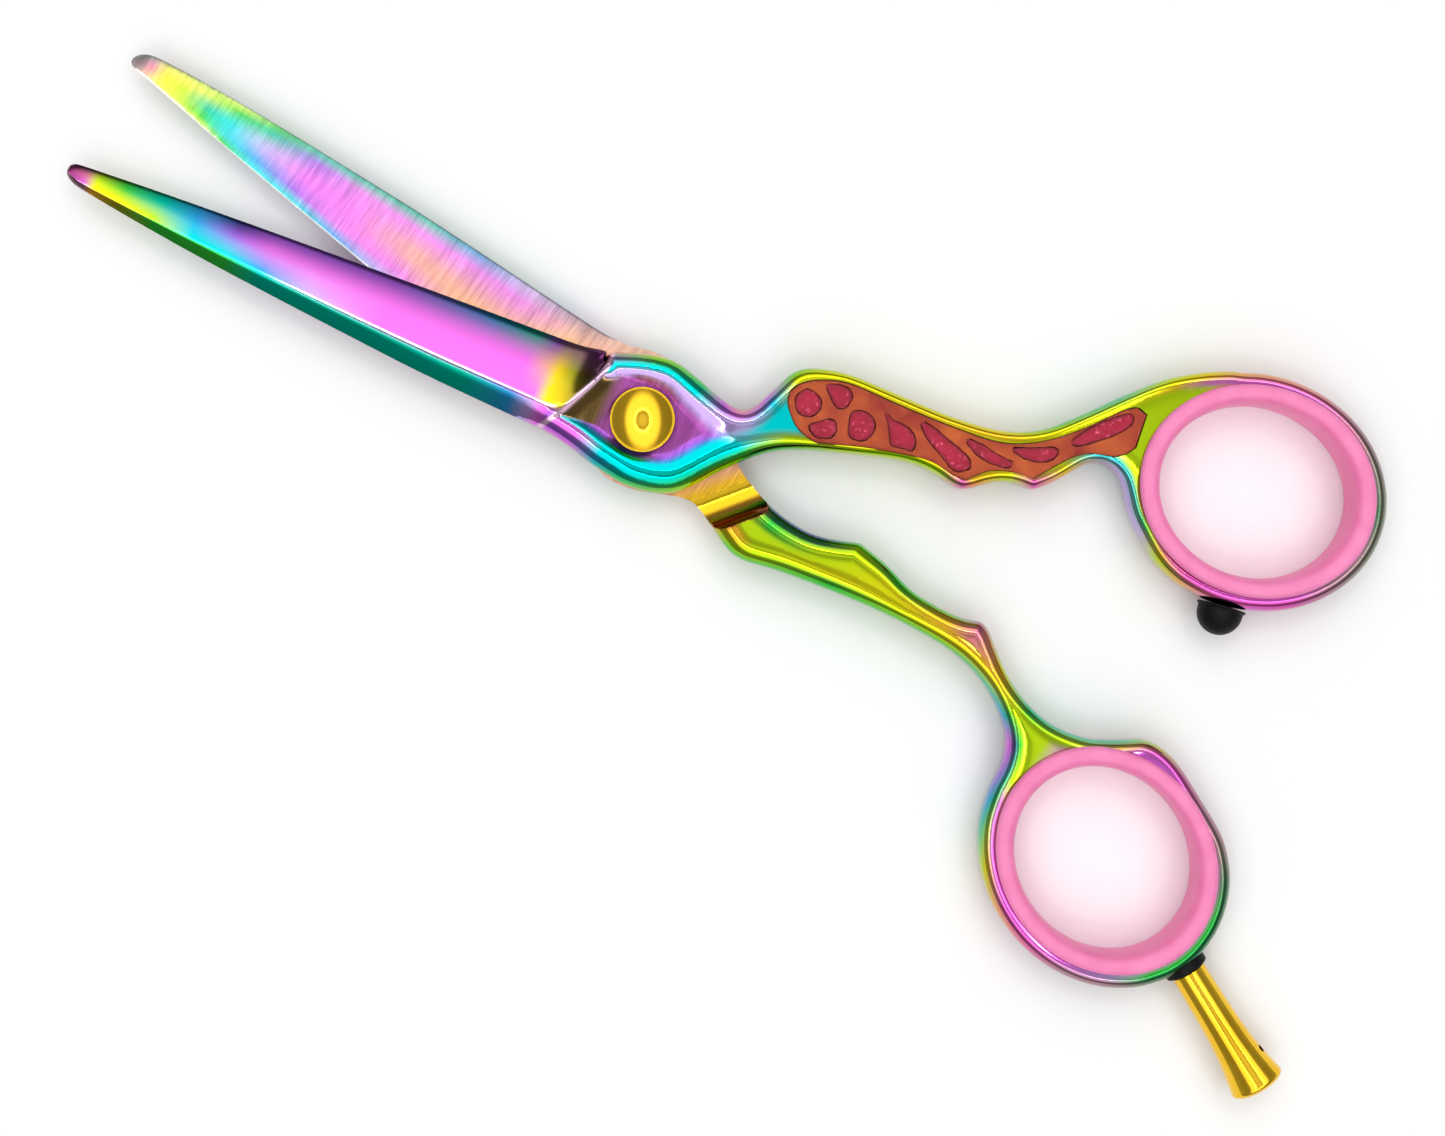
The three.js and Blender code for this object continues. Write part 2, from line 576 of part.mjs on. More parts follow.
const lower = new THREE.Group();
lower.rotation.z = degrees(-HALF_OPENING);
const turnedOver = new THREE.Group();
turnedOver.rotation.x = Math.PI;
turnedOver.add(
  piece('lower_half', lowerHalf(), rainbowSteel()),
  linerOn('lower_ring_liner', LOWER_RING),
  piece('finger_rest_washer', onSeat(fingerRestWasher(), REST_SEAT), blackRubber()),
  piece('finger_rest', onSeat(fingerRest(), REST_SEAT), gold()),
  piece('finger_rest_stud', onSeat(fingerRestStud(), REST_SEAT), steel()),
);
lower.add(
  turnedOver,
  piece('pivot_screw', pivotScrew(), gold()),
  piece('head_washer', headWasher(), gold()),
  piece('spring_washer', springWasher(), steel()),
  piece('blade_washer', bladeWasher(), nylon()),
  piece('tension_nut', tensionNut(), gold()),
);

shears.add(upper, lower);

const part = new THREE.Group();
part.add(shears);

export default part;
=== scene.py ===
# Looks of the hairdressing shears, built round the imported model.
#
# Blender works in metres in the row frame. The shapes here are worked out in millimetres in each
# half's own frame, as in the CAD: the pivot axis is z, the mating plane is z = 0, the half's outer
# face is up, the tip is at -x and the cutting edge faces +y.

import math

import bmesh
import bpy
import numpy as np
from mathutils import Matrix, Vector
from mathutils.geometry import delaunay_2d_cdt
from mathutils.kdtree import KDTree


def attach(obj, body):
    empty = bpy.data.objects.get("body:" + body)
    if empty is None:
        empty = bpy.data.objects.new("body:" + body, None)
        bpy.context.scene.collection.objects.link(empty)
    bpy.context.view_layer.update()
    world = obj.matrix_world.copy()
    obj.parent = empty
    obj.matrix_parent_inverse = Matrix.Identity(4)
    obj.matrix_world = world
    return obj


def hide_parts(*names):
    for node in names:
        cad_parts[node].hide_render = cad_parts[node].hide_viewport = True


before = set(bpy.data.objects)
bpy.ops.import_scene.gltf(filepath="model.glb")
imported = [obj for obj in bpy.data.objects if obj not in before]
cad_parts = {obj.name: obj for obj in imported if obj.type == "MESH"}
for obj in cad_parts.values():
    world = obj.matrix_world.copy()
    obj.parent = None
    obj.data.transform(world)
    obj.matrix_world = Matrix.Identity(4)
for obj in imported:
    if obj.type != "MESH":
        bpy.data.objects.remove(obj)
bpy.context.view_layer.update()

MM = 0.001
MATING_HEIGHT = 3.5        # the mating plane above the floor
HALF_OPENING = 5.87        # degrees that each half is turned away from the closed line
GAP = 0.05                 # running gap between pieces that touch
HANDLE_HALF = 2.6          # half the handles' thickness
BAND_HALF = 0.9            # half the flat band round the handles' edges
HEEL = -5                  # x where the blade meets the shank
BLADE_THICKNESS = (0.8, 2.5)            # at the tip and at the heel
EDGE_LAND = 0.12                        # thickness of the cutting edge's honed land
PIVOT_BORE = {"upper": 2.65, "lower": 1.95}
RING_RATIO = 0.88          # short half axis of every ring ellipse over its long one
# Each ring's centre, tilt and outer long half axis.
RINGS = {"upper": ((59.15, 17.8), 4.0, 13.4), "lower": ((63.15, 9.3), 16.0, 13.6)}
# What is fastened to each ring from outside: the rubber stop and the finger rest.
SEATS = {"upper": ((60.85, 6.1), -83.0), "lower": ((75.5, 13.15), 23.2)}
SEAT_REACH = 3.2           # how far from a seat's middle the CAD outline is left out
RAMP_ANGLE = 34.0          # degrees that the handle's inner ramp is turned from the x axis
RAMP_START = 9.35          # distance from the pivot axis to where the ramp starts
RAMP_RADIUS = 4.0
RIDGE_PLACE = 0.76         # the ridge's place across the blade, from the edge to the spine
EYE_FLOOR = 2.0            # height of the floor of the recess round the pivot
WASHER_SEAT = (4.25, 0.25)              # radius and depth
POCKET_FLOOR = 1.6
POCKET_CORNERS = [(46.05, 20.5), (46.35, 17), (38.15, 10), (32, 7.2)]

# ---------------------------------------------------------------- frames


def turn_z(degrees):
    angle = math.radians(degrees)
    return np.array([[math.cos(angle), -math.sin(angle), 0],
                     [math.sin(angle), math.cos(angle), 0],
                     [0, 0, 1]])


TURNED_OVER = np.diag([1.0, -1.0, -1.0])
TO_ROW = {"upper": turn_z(HALF_OPENING), "lower": turn_z(-HALF_OPENING) @ TURNED_OVER,
          "pivot": np.eye(3)}


def to_row(points, half):
    """Half frame in millimetres to the row frame in metres."""
    return (np.asarray(points, float) @ TO_ROW[half].T + [0, 0, MATING_HEIGHT]) * MM


def to_half(points, half):
    """Row frame in metres to a half's frame in millimetres."""
    return (np.asarray(points, float) / MM - [0, 0, MATING_HEIGHT]) @ TO_ROW[half]


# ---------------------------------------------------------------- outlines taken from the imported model


SHORTEST_LOOP = 8          # a section's loop with fewer points is a stray sliver


def section(node, half, height):
    """Closed loops in which a CAD node crosses a height of its half's frame."""
    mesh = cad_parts[node].data
    mesh.calc_loop_triangles()
    places = to_half([v.co for v in mesh.vertices], half)
    corners = places[[tuple(t.vertices) for t in mesh.loop_triangles]]
    above = corners[:, :, 2] > height
    links, spots = {}, {}
    for triangle in corners[above.any(1) & ~above.all(1)]:
        ends = []
        for start, end in zip(triangle, np.roll(triangle, -1, 0)):
            if (start[2] > height) != (end[2] > height):
                spot = (start + (height - start[2]) / (end[2] - start[2]) * (end - start))[:2]
                key = (round(spot[0], 3), round(spot[1], 3))
                spots[key] = spot
                ends.append(key)
        if ends[0] != ends[1]:
            links.setdefault(ends[0], set()).add(ends[1])
            links.setdefault(ends[1], set()).add(ends[0])
    loops = []
    while links:
        loop = [next(iter(links))]
        while True:
            onwards = [key for key in links.pop(loop[-1]) if key in links]
            if not onwards:
                break
            loop.append(onwards[0])
        if len(loop) > SHORTEST_LOOP:
            loops.append(anticlockwise(np.array([spots[key] for key in loop])))
    return sorted(loops, key=area, reverse=True)


def area(loop):
    after = np.roll(loop, -1, 0)
    return 0.5 * np.sum(loop[:, 0] * after[:, 1] - after[:, 0] * loop[:, 1])


def anticlockwise(loop):
    return loop if area(loop) > 0 else loop[::-1]


def corners_of(loop, nearest=0.3, straight=0.002):
    """The loop without points on a straight stretch or very close to the one before."""
    kept = list(loop)
    i = 0
    while i < len(kept):
        before, here, after = kept[i - 1], kept[i], kept[(i + 1) % len(kept)]
        chord = after - before
        off = abs(chord[0] * (here - before)[1] - chord[1] * (here - before)[0]) / np.hypot(*chord)
        if off < straight or np.hypot(*(here - before)) < nearest:
            kept.pop(i)
            i = max(i - 1, 0)
        else:
            i += 1
    return np.array(kept)


def catmull_rom(points, knots, t):
    """Barry and Goldman's pyramid for one point on a centripetal Catmull-Rom curve."""
    for level in (1, 2, 3):
        spans = [(knots[k], knots[k + level]) for k in range(len(points) - 1)]
        spans = spans if level < 3 else [(knots[1], knots[2])]
        points = [((high - t) * points[k] + (t - low) * points[k + 1]) / (high - low)
                  for k, (low, high) in enumerate(spans)]
    return points[0]


def spline(points, step, closed=True, sharp=()):
    """Evenly stepped points on a smooth curve through the given ones, with corners where stated."""
    points = np.asarray(points, float)
    count = len(points)
    corner = {int(np.argmin(np.hypot(*(points - place).T))) for place in sharp}
    made = []
    for i in range(count if closed else count - 1):
        a, b = points[i], points[(i + 1) % count]
        before = points[i - 1] if closed or i > 0 else 2 * a - b
        after = points[(i + 2) % count] if closed or i + 2 < count else 2 * b - a
        before = 2 * a - b if i in corner else before
        after = 2 * b - a if (i + 1) % count in corner else after
        knots = [0.0]
        for start, end in ((before, a), (a, b), (b, after)):
            knots.append(knots[-1] + max(np.hypot(*(end - start)), 1e-6) ** 0.5)
        steps = max(1, round(np.hypot(*(b - a)) / step))
        made += [catmull_rom([before, a, b, after], knots, t)
                 for t in np.linspace(knots[1], knots[2], steps, False)]
    if not closed:
        made.append(points[-1])
    return np.array(made)


def eased(loop, passes=2):
    """The loop with its corners slightly rounded."""
    for _ in range(passes):
        loop = (np.roll(loop, 1, 0) + 2 * loop + np.roll(loop, -1, 0)) / 4
    return loop


def inside(loop, points):
    x, y = points[:, 0], points[:, 1]
    hits = np.zeros(len(points), int)
    for (ax, ay), (bx, by) in zip(loop, np.roll(loop, -1, 0)):
        if ay != by:
            crosses = (ay > y) != (by > y)
            hits += crosses & (x < ax + (y - ay) / (by - ay) * (bx - ax))
    return hits % 2 == 1


def nearest_on(line, points, closed=True):
    """Distance from each point to a line, the walk along the line to the nearest spot, and the side."""
    start = line if closed else line[:-1]
    end = np.roll(line, -1, 0) if closed else line[1:]
    along = end - start
    length = np.maximum(np.hypot(*along.T), 1e-9)
    walked = np.concatenate([[0], np.cumsum(length)[:-1]])
    distance, walk, side = (np.empty(len(points)) for _ in range(3))
    for low in range(0, len(points), 1500):
        part = slice(low, low + 1500)
        gap = points[part, None, :] - start[None]
        share = np.clip((gap * along).sum(2) / length**2, 0, 1)
        off = gap - share[..., None] * along
        reach = np.hypot(off[..., 0], off[..., 1])
        best = reach.argmin(1)
        rows = np.arange(len(best))
        distance[part] = reach[rows, best]
        walk[part] = walked[best] + share[rows, best] * length[best]
        cross = along[best, 0] * gap[rows, best, 1] - along[best, 1] * gap[rows, best, 0]
        side[part] = np.sign(cross)
    return distance, walk, side


def inwards(loop):
    along = np.roll(loop, -1, 0) - np.roll(loop, 1, 0)
    along /= np.hypot(*along.T)[:, None]
    return np.c_[-along[:, 1], along[:, 0]]


# ---------------------------------------------------------------- outlines and their key lines

CORNERS = {
    "upper": [(38.6, 9.1), (32, 6.3), (-63.3, 0.6), (-63.3, 0.1)],
    "lower": [(74.35, 3.26), (39.4, -3.1), (24.8, -2.5), (-63.1, 0.2), (-63.1, -0.4)],
}
EDGE_STEP = 0.33

# Crest of the shoulder between the blade and the shank, from beyond the spine to beyond the edge.
SHOULDER = [(-11, -7.6), (-9.4, -4.9), (-7.9, -2.7), (-7.1, -1), (-6.3, 0.8), (-5.4, 3), (-5.3, 4.2),
            (-5.9, 6.6)]
SHOULDER_REACH = 3.5                   # over which the shank's height fades into the blade's
OUTLINE_HEIGHT = 0.11                  # height at which the CAD outline is read
POCKET_HEIGHT = 2.3                    # height at which the inlay pocket's outline is read


def ring_points(half, angles, grow=0.0):
    """Places on the outside of a ring, at angles of its ellipse in radians."""
    centre, tilt, outer = RINGS[half]
    local = (outer + grow) * np.c_[np.cos(angles), RING_RATIO * np.sin(angles)]
    return local @ turn_z(tilt)[:2, :2].T + centre


def outline_of(half):
    """A half's outline and its ring's hole. The ring runs on behind what is fastened to it."""
    whole, bore = section(f"{half}_half", half, OUTLINE_HEIGHT)[:2]
    whole = corners_of(whole)
    seat = SEATS[half][0]
    near = np.hypot(*(whole - seat).T) < SEAT_REACH
    first = next(i for i in range(len(near)) if near[i] and not near[i - 1])
    centre, tilt, _ = RINGS[half]
    towards = math.atan2(seat[1] - centre[1], seat[0] - centre[0]) - math.radians(tilt)
    ring = ring_points(half, towards + np.radians(np.arange(-30, 31, 5)))
    arc = ring[np.hypot(*(ring - seat).T) < SEAT_REACH - 0.4]
    whole = np.vstack([arc, np.roll(whole, -first, 0)[~np.roll(near, -first)]])
    return (eased(spline(whole, EDGE_STEP, sharp=CORNERS[half])),
            spline(corners_of(bore), EDGE_STEP))


def circle(radius, steps):
    angle = np.linspace(0, 2 * math.pi, steps, False)
    return radius * np.c_[np.cos(angle), np.sin(angle)]


class Shape:
    """A half's outline and everything measured from it."""

    def __init__(self, half):
        self.half = half
        self.outline, self.bore = outline_of(half)
        self.outline = with_ramp_points(self.outline)
        self.pivot_bore = circle(PIVOT_BORE[half], 40)
        self.shoulder = spline(SHOULDER, 0.3, closed=False)
        self.tip = self.outline[:, 0].min()
        blade = self.outline[self.outline[:, 0] < HEEL]
        blade = blade[np.argsort(blade[:, 0])]
        middle = np.interp(blade[:, 0], [self.tip, HEEL], [0.0, -0.15])
        self.edge = blade[blade[:, 1] > middle]
        self.spine = blade[blade[:, 1] <= middle]

    def across(self, points):
        """Share of the way from the cutting edge to the spine."""
        edge = np.interp(points[:, 0], *self.edge.T)
        spine = np.interp(points[:, 0], *self.spine.T)
        return np.clip((points[:, 1] - edge) / np.minimum(spine - edge, -0.05), 0, 1)


def ramp_place(points):
    """Distance from the pivot axis square to the ramp."""
    angle = math.radians(RAMP_ANGLE)
    return points @ [math.cos(angle), math.sin(angle)]


def ramp_points(place, across):
    angle = math.radians(RAMP_ANGLE)
    return np.c_[place * math.cos(angle) - across * math.sin(angle),
                 place * math.sin(angle) + across * math.cos(angle)]


RAMP_TURNS = (0, 5, 10, 15, 20, 25, 30, 36, 42, 48, 54, 60, 66, 70)
RAMP_ROWS = RAMP_START + RAMP_RADIUS * np.sin(np.radians(RAMP_TURNS))


def with_ramp_points(loop):
    """The loop with a point wherever it crosses one of the ramp's rows."""
    places = ramp_place(loop)
    made = []
    for i, here in enumerate(loop):
        made.append(here)
        j = (i + 1) % len(loop)
        low, high = sorted((places[i], places[j]))
        crossed = RAMP_ROWS[(RAMP_ROWS > low + 0.02) & (RAMP_ROWS < high - 0.02)]
        shares = sorted((crossed - places[i]) / (places[j] - places[i])) if len(crossed) else []
        made += [here + share * (loop[j] - here) for share in shares]
    return np.array(made)


# ---------------------------------------------------------------- heights

# Width of the rounding along the outline: places along x, then the widths there.
ROUNDING = {
    ("upper", "out"): ([-8, 4, 9, 13, 17, 45, 51, 58], [1.6, 1.7, 1.6, 1.2, 0.8, 0.8, 1.0, 1.05]),
    ("upper", "in"): ([-8, 12, 17, 45, 51, 58], [1.5, 1.5, 1.5, 1.3, 1.0, 1.05]),
    ("lower", "out"): ([-8, 4, 12, 40, 50, 58], [1.5, 1.7, 1.7, 1.5, 1.0, 1.05]),
    ("lower", "in"): ([-8, 12, 20, 27, 32, 38, 43, 48, 58],
                      [1.5, 1.8, 1.7, 1.5, 1.15, 1.4, 1.3, 1.1, 1.05]),
}
SPINE_SIDE_EXTRA = 0.4     # the shank's rounding is wider on the spine side of the outer face
HOLLOW = 0.13              # depth of the hollow in the handles' faces
HOLLOW_REACH = 1.6         # how far in from the crest the hollow gets its full depth
BLADE_HOLLOW = 0.1         # depth of the hollow ground into the blade's mating face
SIDE_SLOPE = ([-2, 8], [1.5, 2.7])     # width of the slopes into the recess round the pivot, along x
SHOULDER_SLOPE = 3.2       # width of the slope from the shoulder into the recess
CREST_WIDTH = 0.35         # how softly the crest between blade and recess is rounded
RECESS_END = 10.8          # x where the recess has run out at the neck
RECESS_FADE = 5.0          # length over which it runs out


def smoothstep(values):
    values = np.clip(values, 0, 1)
    return values * values * (3 - 2 * values)


def eased_start(values, width):
    """Zero up to zero, then a straight climb that begins gently over a width."""
    values = np.maximum(values, 0)
    return np.where(values < width, values**2 / (2 * width), values - width / 2)


def above_middle(points):
    """How far points lie on the cutting edge's side of a line along the middle of the shank."""
    return points[:, 1] + 0.5 - 0.28 * points[:, 0]


def rounding_at(shape, face, points):
    width = np.interp(points[:, 0], *ROUNDING[shape.half, face])
    if face == "out":
        on_shank = smoothstep((12 - points[:, 0]) / 3)
        width = width + SPINE_SIDE_EXTRA * on_shank * smoothstep(0.5 - above_middle(points) / 3)
    return width


def handle_height(shape, face, points, distance):
    """Height over the middle plane: a rounded edge up to a crest, then a slightly hollow face."""
    radius = rounding_at(shape, face, points)
    rise = 1 - np.clip(distance / radius, 0, 1)
    height = BAND_HALF + (HANDLE_HALF - BAND_HALF) * np.sqrt(1 - rise**2)
    left = 1 - np.clip((distance - radius) / HOLLOW_REACH, 0, 1)
    return height - HOLLOW * (1 - left**2)


def blade_thickness(shape, x):
    return np.interp(x, [shape.tip, HEEL - 1], BLADE_THICKNESS)


def blade_height(shape, points):
    """A bevel that leaves the edge steeply and goes on to the ridge, then a fall to the spine."""
    across = shape.across(points)
    thick = blade_thickness(shape, points[:, 0])
    rise = np.clip(across / RIDGE_PLACE, 0, 1)
    fall = np.clip((across - RIDGE_PLACE) / (1 - RIDGE_PLACE), 0, 1)
    bevel = 0.1 * (1 - np.exp(-rise / 0.05)) + 0.9 * (1.25 * rise - 0.25 * rise**2)
    front = EDGE_LAND + (thick - EDGE_LAND) * bevel
    back = thick * (1 - 0.42 * fall - 0.13 * fall**3)
    soft = 0.03                              # rounds the ridge over
    return GAP - soft * np.logaddexp(-front / soft, -back / soft)


class OuterSpots:
    """Points on a half's outer face, with what the heights and colours there depend on."""

    def __init__(self, shape, points):
        self.shape, self.points = shape, points
        self.distance, self.walk, _ = nearest_on(shape.outline, points)
        reach, _, side = nearest_on(shape.shoulder, points, closed=False)
        self.past = reach * side             # positive on the blade's side of the shoulder
        self.radius = rounding_at(shape, "out", points)
        self.from_side = self.distance - self.radius
        self.down = self.from_side / np.interp(points[:, 0], *SIDE_SLOPE)
        self.side_slope = smoothstep(self.down)
        self.shoulder_slope = np.clip(eased_start(-self.past, CREST_WIDTH) / SHOULDER_SLOPE, 0, 1)
        self.on_facet = smoothstep((self.side_slope - self.shoulder_slope) / 0.2 + 0.5)
        self.run_out = smoothstep((RECESS_END - points[:, 0]) / RECESS_FADE)
        soft = 0.02                          # rounds the valley between the two slopes
        lower = -soft * np.logaddexp(-self.side_slope / soft, -self.shoulder_slope / soft)
        self.recess = np.maximum(lower, 0) * self.run_out

    def heights(self):
        points = self.points
        handle = handle_height(self.shape, "out", points, self.distance)
        handle = handle + self.recess * (EYE_FLOOR - handle)
        blend = np.clip(1 - eased_start(self.past, CREST_WIDTH) / SHOULDER_REACH, 0, 1) ** 3
        blade = blade_height(self.shape, np.c_[np.minimum(points[:, 0], HEEL - 0.2), points[:, 1]])
        return blade + (handle - blade) * np.where(points[:, 0] > HEEL, 1, blend)


def ramp_height(place):
    past = np.clip(place - RAMP_START, 0, RAMP_RADIUS)
    height = GAP - RAMP_RADIUS + np.sqrt(np.maximum(RAMP_RADIUS**2 - past**2, 0))
    below_all = -9                           # past the ramp's end only the handle's own face counts
    return np.where(place > RAMP_START + RAMP_RADIUS - 1e-4, below_all, height)


def ramp_crest(shape):
    """Where the ramp runs out through the handle's inner face."""
    across = np.arange(-9, 9, 0.2)
    low = np.full(len(across), RAMP_START)
    high = np.full(len(across), RAMP_START + RAMP_RADIUS)
    for _ in range(14):
        middle = (low + high) / 2
        points = ramp_points(middle, across)
        handle = -handle_height(shape, "in", points, nearest_on(shape.outline, points)[0])
        over = ramp_height(middle) > handle
        low, high = np.where(over, middle, low), np.where(over, high, middle)
    return ramp_points(low, across)


def inner_height(shape, points):
    distance = nearest_on(shape.outline, points)[0]
    handle = -handle_height(shape, "in", points, distance)
    ramp = ramp_height(ramp_place(points))
    across = shape.across(points)
    hollow = BLADE_HOLLOW * np.clip(1 - (2 * across - 1) ** 2, 0, 1) * smoothstep((-7 - points[:, 0]) / 8)
    seat = WASHER_SEAT[1] * (np.hypot(*points.T) < WASHER_SEAT[0] - 0.01)
    return np.maximum(handle, ramp) + np.where(points[:, 0] < -7, hollow, 0) + seat


# ---------------------------------------------------------------- meshing


class Net:
    """Points and edges that a surface is triangulated through."""

    def __init__(self, loops):
        self.points, self.edges, self.sharp = [], [], set()
        self.loops = loops
        self.loop_ids = [self.line(loop, closed=True) for loop in loops]

    def line(self, line, closed=False, sharp=False):
        first = len(self.points)
        self.points += [tuple(point) for point in line]
        ids = list(range(first, len(self.points)))
        for a, b in zip(ids, ids[1:] + (ids[:1] if closed else [])):
            if sharp:
                self.sharp.add(len(self.edges))
            self.edges.append((a, b))
        return ids

    def clear_points(self, candidates, room):
        """Adds the candidates that keep clear of everything so far, and of each other's rows."""
        tree = KDTree(len(self.points))
        for i, point in enumerate(self.points):
            tree.insert((point[0], point[1], 0), i)
        tree.balance()
        for point in candidates:
            if tree.find((point[0], point[1], 0))[2] > room:
                self.points.append(tuple(point))

    def triangles(self):
        made = delaunay_2d_cdt([Vector(p) for p in self.points], self.edges, [], 0, 1e-5)
        points = np.array([tuple(p) for p in made[0]])
        faces = np.array([tuple(f) for f in made[2]])
        middles = points[faces].mean(1)
        keep = inside(self.loops[0], middles)
        for hole in self.loops[1:]:
            keep &= ~inside(hole, middles)
        faces = faces[keep]
        a, b, c = (points[faces[:, k]] for k in range(3))
        flipped = (b - a)[:, 0] * (c - a)[:, 1] < (b - a)[:, 1] * (c - a)[:, 0]
        faces[flipped] = faces[flipped][:, ::-1]
        place = {old: new for new, olds in enumerate(made[3]) for old in olds}
        sharp = [edge for edge, old in zip(made[1], made[4]) if self.sharp.intersection(old)]
        return points, faces, [[place[i] for i in ids] for ids in self.loop_ids], sharp


def within(shape, points, margin, holes):
    """Points inside the outline, and outside the holes, by a margin."""
    points = np.asarray(points, float)
    keep = inside(shape.outline, points) & (nearest_on(shape.outline, points)[0] > margin)
    for hole in holes:
        keep &= ~inside(hole, points) & (nearest_on(hole, points)[0] > margin)
    return points[keep]


def edge_rows(shape, face, net, holes):
    """Rows that follow the outline through its rounding, and rows round the bore."""
    rows = []
    handle = shape.outline[:, 0] > -8
    start, normal = shape.outline[handle], inwards(shape.outline)[handle]
    radius = rounding_at(shape, face, start)
    for angle in (14, 26, 38, 50, 62, 76, 90):
        step = radius * (1 - math.cos(math.radians(angle)))
        row = start + normal * step[:, None]
        reach = nearest_on(shape.outline, row)[0]
        rows.append(row[(reach > step - 0.02) & inside(shape.outline, row)])
    for extra in (0.12, 0.28, 0.5, 0.75, 1.05, 1.4):
        row = start + normal * (radius + extra)[:, None]
        reach = nearest_on(shape.outline, row)[0]
        rows.append(row[(reach > radius + extra - 0.02) & inside(shape.outline, row)])
    rows.append(shape.bore - inwards(shape.bore) * 0.3)
    for row in rows:
        net.clear_points(within(shape, row, 0.02, holes), 0.075)


def blade_points(shape, shares):
    points = []
    for x in np.arange(shape.tip + 0.25, -5.5, 0.45):
        edge, spine = np.interp(x, *shape.edge.T), np.interp(x, *shape.spine.T)
        points += [(x, edge + share * (spine - edge)) for share in shares]
    return points


def hexagonal(shape, low_x, spacing):
    low, high = shape.outline.min(0), shape.outline.max(0)
    points = []
    for j, y in enumerate(np.arange(low[1], high[1], spacing * 0.866)):
        points += [(x + (j % 2) * spacing / 2, y) for x in np.arange(low_x, high[0], spacing)]
    return points


def facet_border(shape):
    """The valley where the shoulder's slope meets the slope along the rim."""
    start, normal = shape.shoulder, inwards(shape.shoulder)
    low, high = np.zeros(len(start)), np.full(len(start), SHOULDER_SLOPE)
    for _ in range(12):
        middle = (low + high) / 2
        spots = OuterSpots(shape, start + normal * middle[:, None])
        on_facet = spots.side_slope > spots.shoulder_slope
        low, high = np.where(on_facet, middle, low), np.where(on_facet, high, middle)
    return spline(start + normal * low[:, None], 0.1, closed=False)


def outer_net(shape, holes):
    net = Net([shape.outline, *holes])
    ridge_x = np.arange(shape.tip + 0.9, -8.3, 0.45)
    edge, spine = np.interp(ridge_x, *shape.edge.T), np.interp(ridge_x, *shape.spine.T)
    for shift in (0, -0.09, 0.09, -0.2, 0.2, -0.36, 0.36):
        ridge = np.c_[ridge_x, edge + RIDGE_PLACE * (spine - edge) + shift]
        net.line(within(shape, ridge, 0.1, holes))
    net.line(within(shape, shape.shoulder, 0.12, holes))
    normal = inwards(shape.shoulder)
    for step in (-0.34, -0.17, 0.17, 0.34):
        net.clear_points(within(shape, shape.shoulder + normal * step, 0.06, holes), 0.08)
    border = facet_border(shape)
    for step in (0, -0.12, 0.12):
        net.clear_points(within(shape, border + inwards(border) * step, 0.06, holes), 0.08)
    for step in (-0.8, -0.55, 0.5, 0.75, 1.05, 1.45, 1.9, 2.5, 3.1):
        net.clear_points(within(shape, shape.shoulder + normal * step, 0.06, holes), 0.1)
    edge_rows(shape, "out", net, holes)
    shares = (0.03, 0.08, 0.15, 0.24, 0.34, 0.44, 0.54, 0.63, 0.7, 0.82, 0.88, 0.94, 0.98)
    net.clear_points(within(shape, blade_points(shape, shares), 0.05, holes), 0.12)
    root = np.array(hexagonal(shape, -9, 0.19))
    net.clear_points(within(shape, root[root[:, 0] < -3], 0.12, holes), 0.11)
    shank = np.array(hexagonal(shape, -3, 0.27))
    net.clear_points(within(shape, shank[shank[:, 0] < 11], 0.12, holes), 0.14)
    net.clear_points(within(shape, hexagonal(shape, 11, 0.42), 0.12, holes), 0.2)
    return net


def inner_net(shape, holes):
    net = Net([shape.outline, *holes])
    net.line(within(shape, ramp_crest(shape), 0.03, holes), sharp=True)
    for row in RAMP_ROWS:
        line = within(shape, ramp_points(row, np.arange(-9, 9, 0.3)), 0.04, holes)
        if row == RAMP_START:
            net.line(line[line[:, 0] < 16])
        else:
            net.clear_points(line[line[:, 0] < 16], 0.05)
    for radius in (WASHER_SEAT[0], WASHER_SEAT[0] - 0.03):
        net.line(circle(radius, 60), closed=True)
    edge_rows(shape, "in", net, holes)
    shares = (0.03, 0.1, 0.2, 0.32, 0.44, 0.56, 0.68, 0.8, 0.9, 0.97)
    net.clear_points(within(shape, blade_points(shape, shares), 0.05, holes), 0.12)
    net.clear_points(within(shape, hexagonal(shape, -9, 0.48), 0.12, holes), 0.2)
    return net


# ---------------------------------------------------------------- coating and painted light
#
# The steel carries a rainbow coating. It is described by the names of the colours it passes through
# at chosen places, blended in between, and stored on the vertices. Painted light is blended in with
# it: painted shade on steep, sunken and turned-away parts, and painted highlights on the shoulder's
# crest, down the ramp and on the handles' middles.

COATING_STRENGTH = 0.82
PALETTE = {
    "coral": (0.85, 0.20, 0.09), "peach": (0.84, 0.40, 0.24), "gold": (0.84, 0.46, 0.03),
    "amber": (0.86, 0.58, 0.02), "yellow": (0.80, 0.74, 0.01), "lime": (0.50, 0.72, 0.01),
    "green": (0.04, 0.58, 0.05), "bottle": (0.02, 0.22, 0.08), "teal": (0.00, 0.52, 0.36),
    "cyan": (0.00, 0.62, 0.64), "blue": (0.03, 0.32, 0.70), "indigo": (0.05, 0.06, 0.30),
    "violet": (0.36, 0.12, 0.72), "lilac": (0.55, 0.38, 0.78), "pink": (0.80, 0.16, 0.74),
    "magenta": (0.72, 0.10, 0.42), "rose": (0.82, 0.20, 0.34), "mauve": (0.45, 0.24, 0.30),
    "smoke": (0.24, 0.26, 0.19), "olive": (0.34, 0.34, 0.02), "plum": (0.36, 0.08, 0.34),
    # The dark red-brown below is used only as painted shade at the ramp's steep end.
    # The pale pink below is used only as a painted highlight on the shoulder's crest.
    "ramp_shade_brown": (0.40, 0.12, 0.05), "umber": (0.13, 0.08, 0.025), "highlight_blush": (0.95, 0.60, 0.82),
}

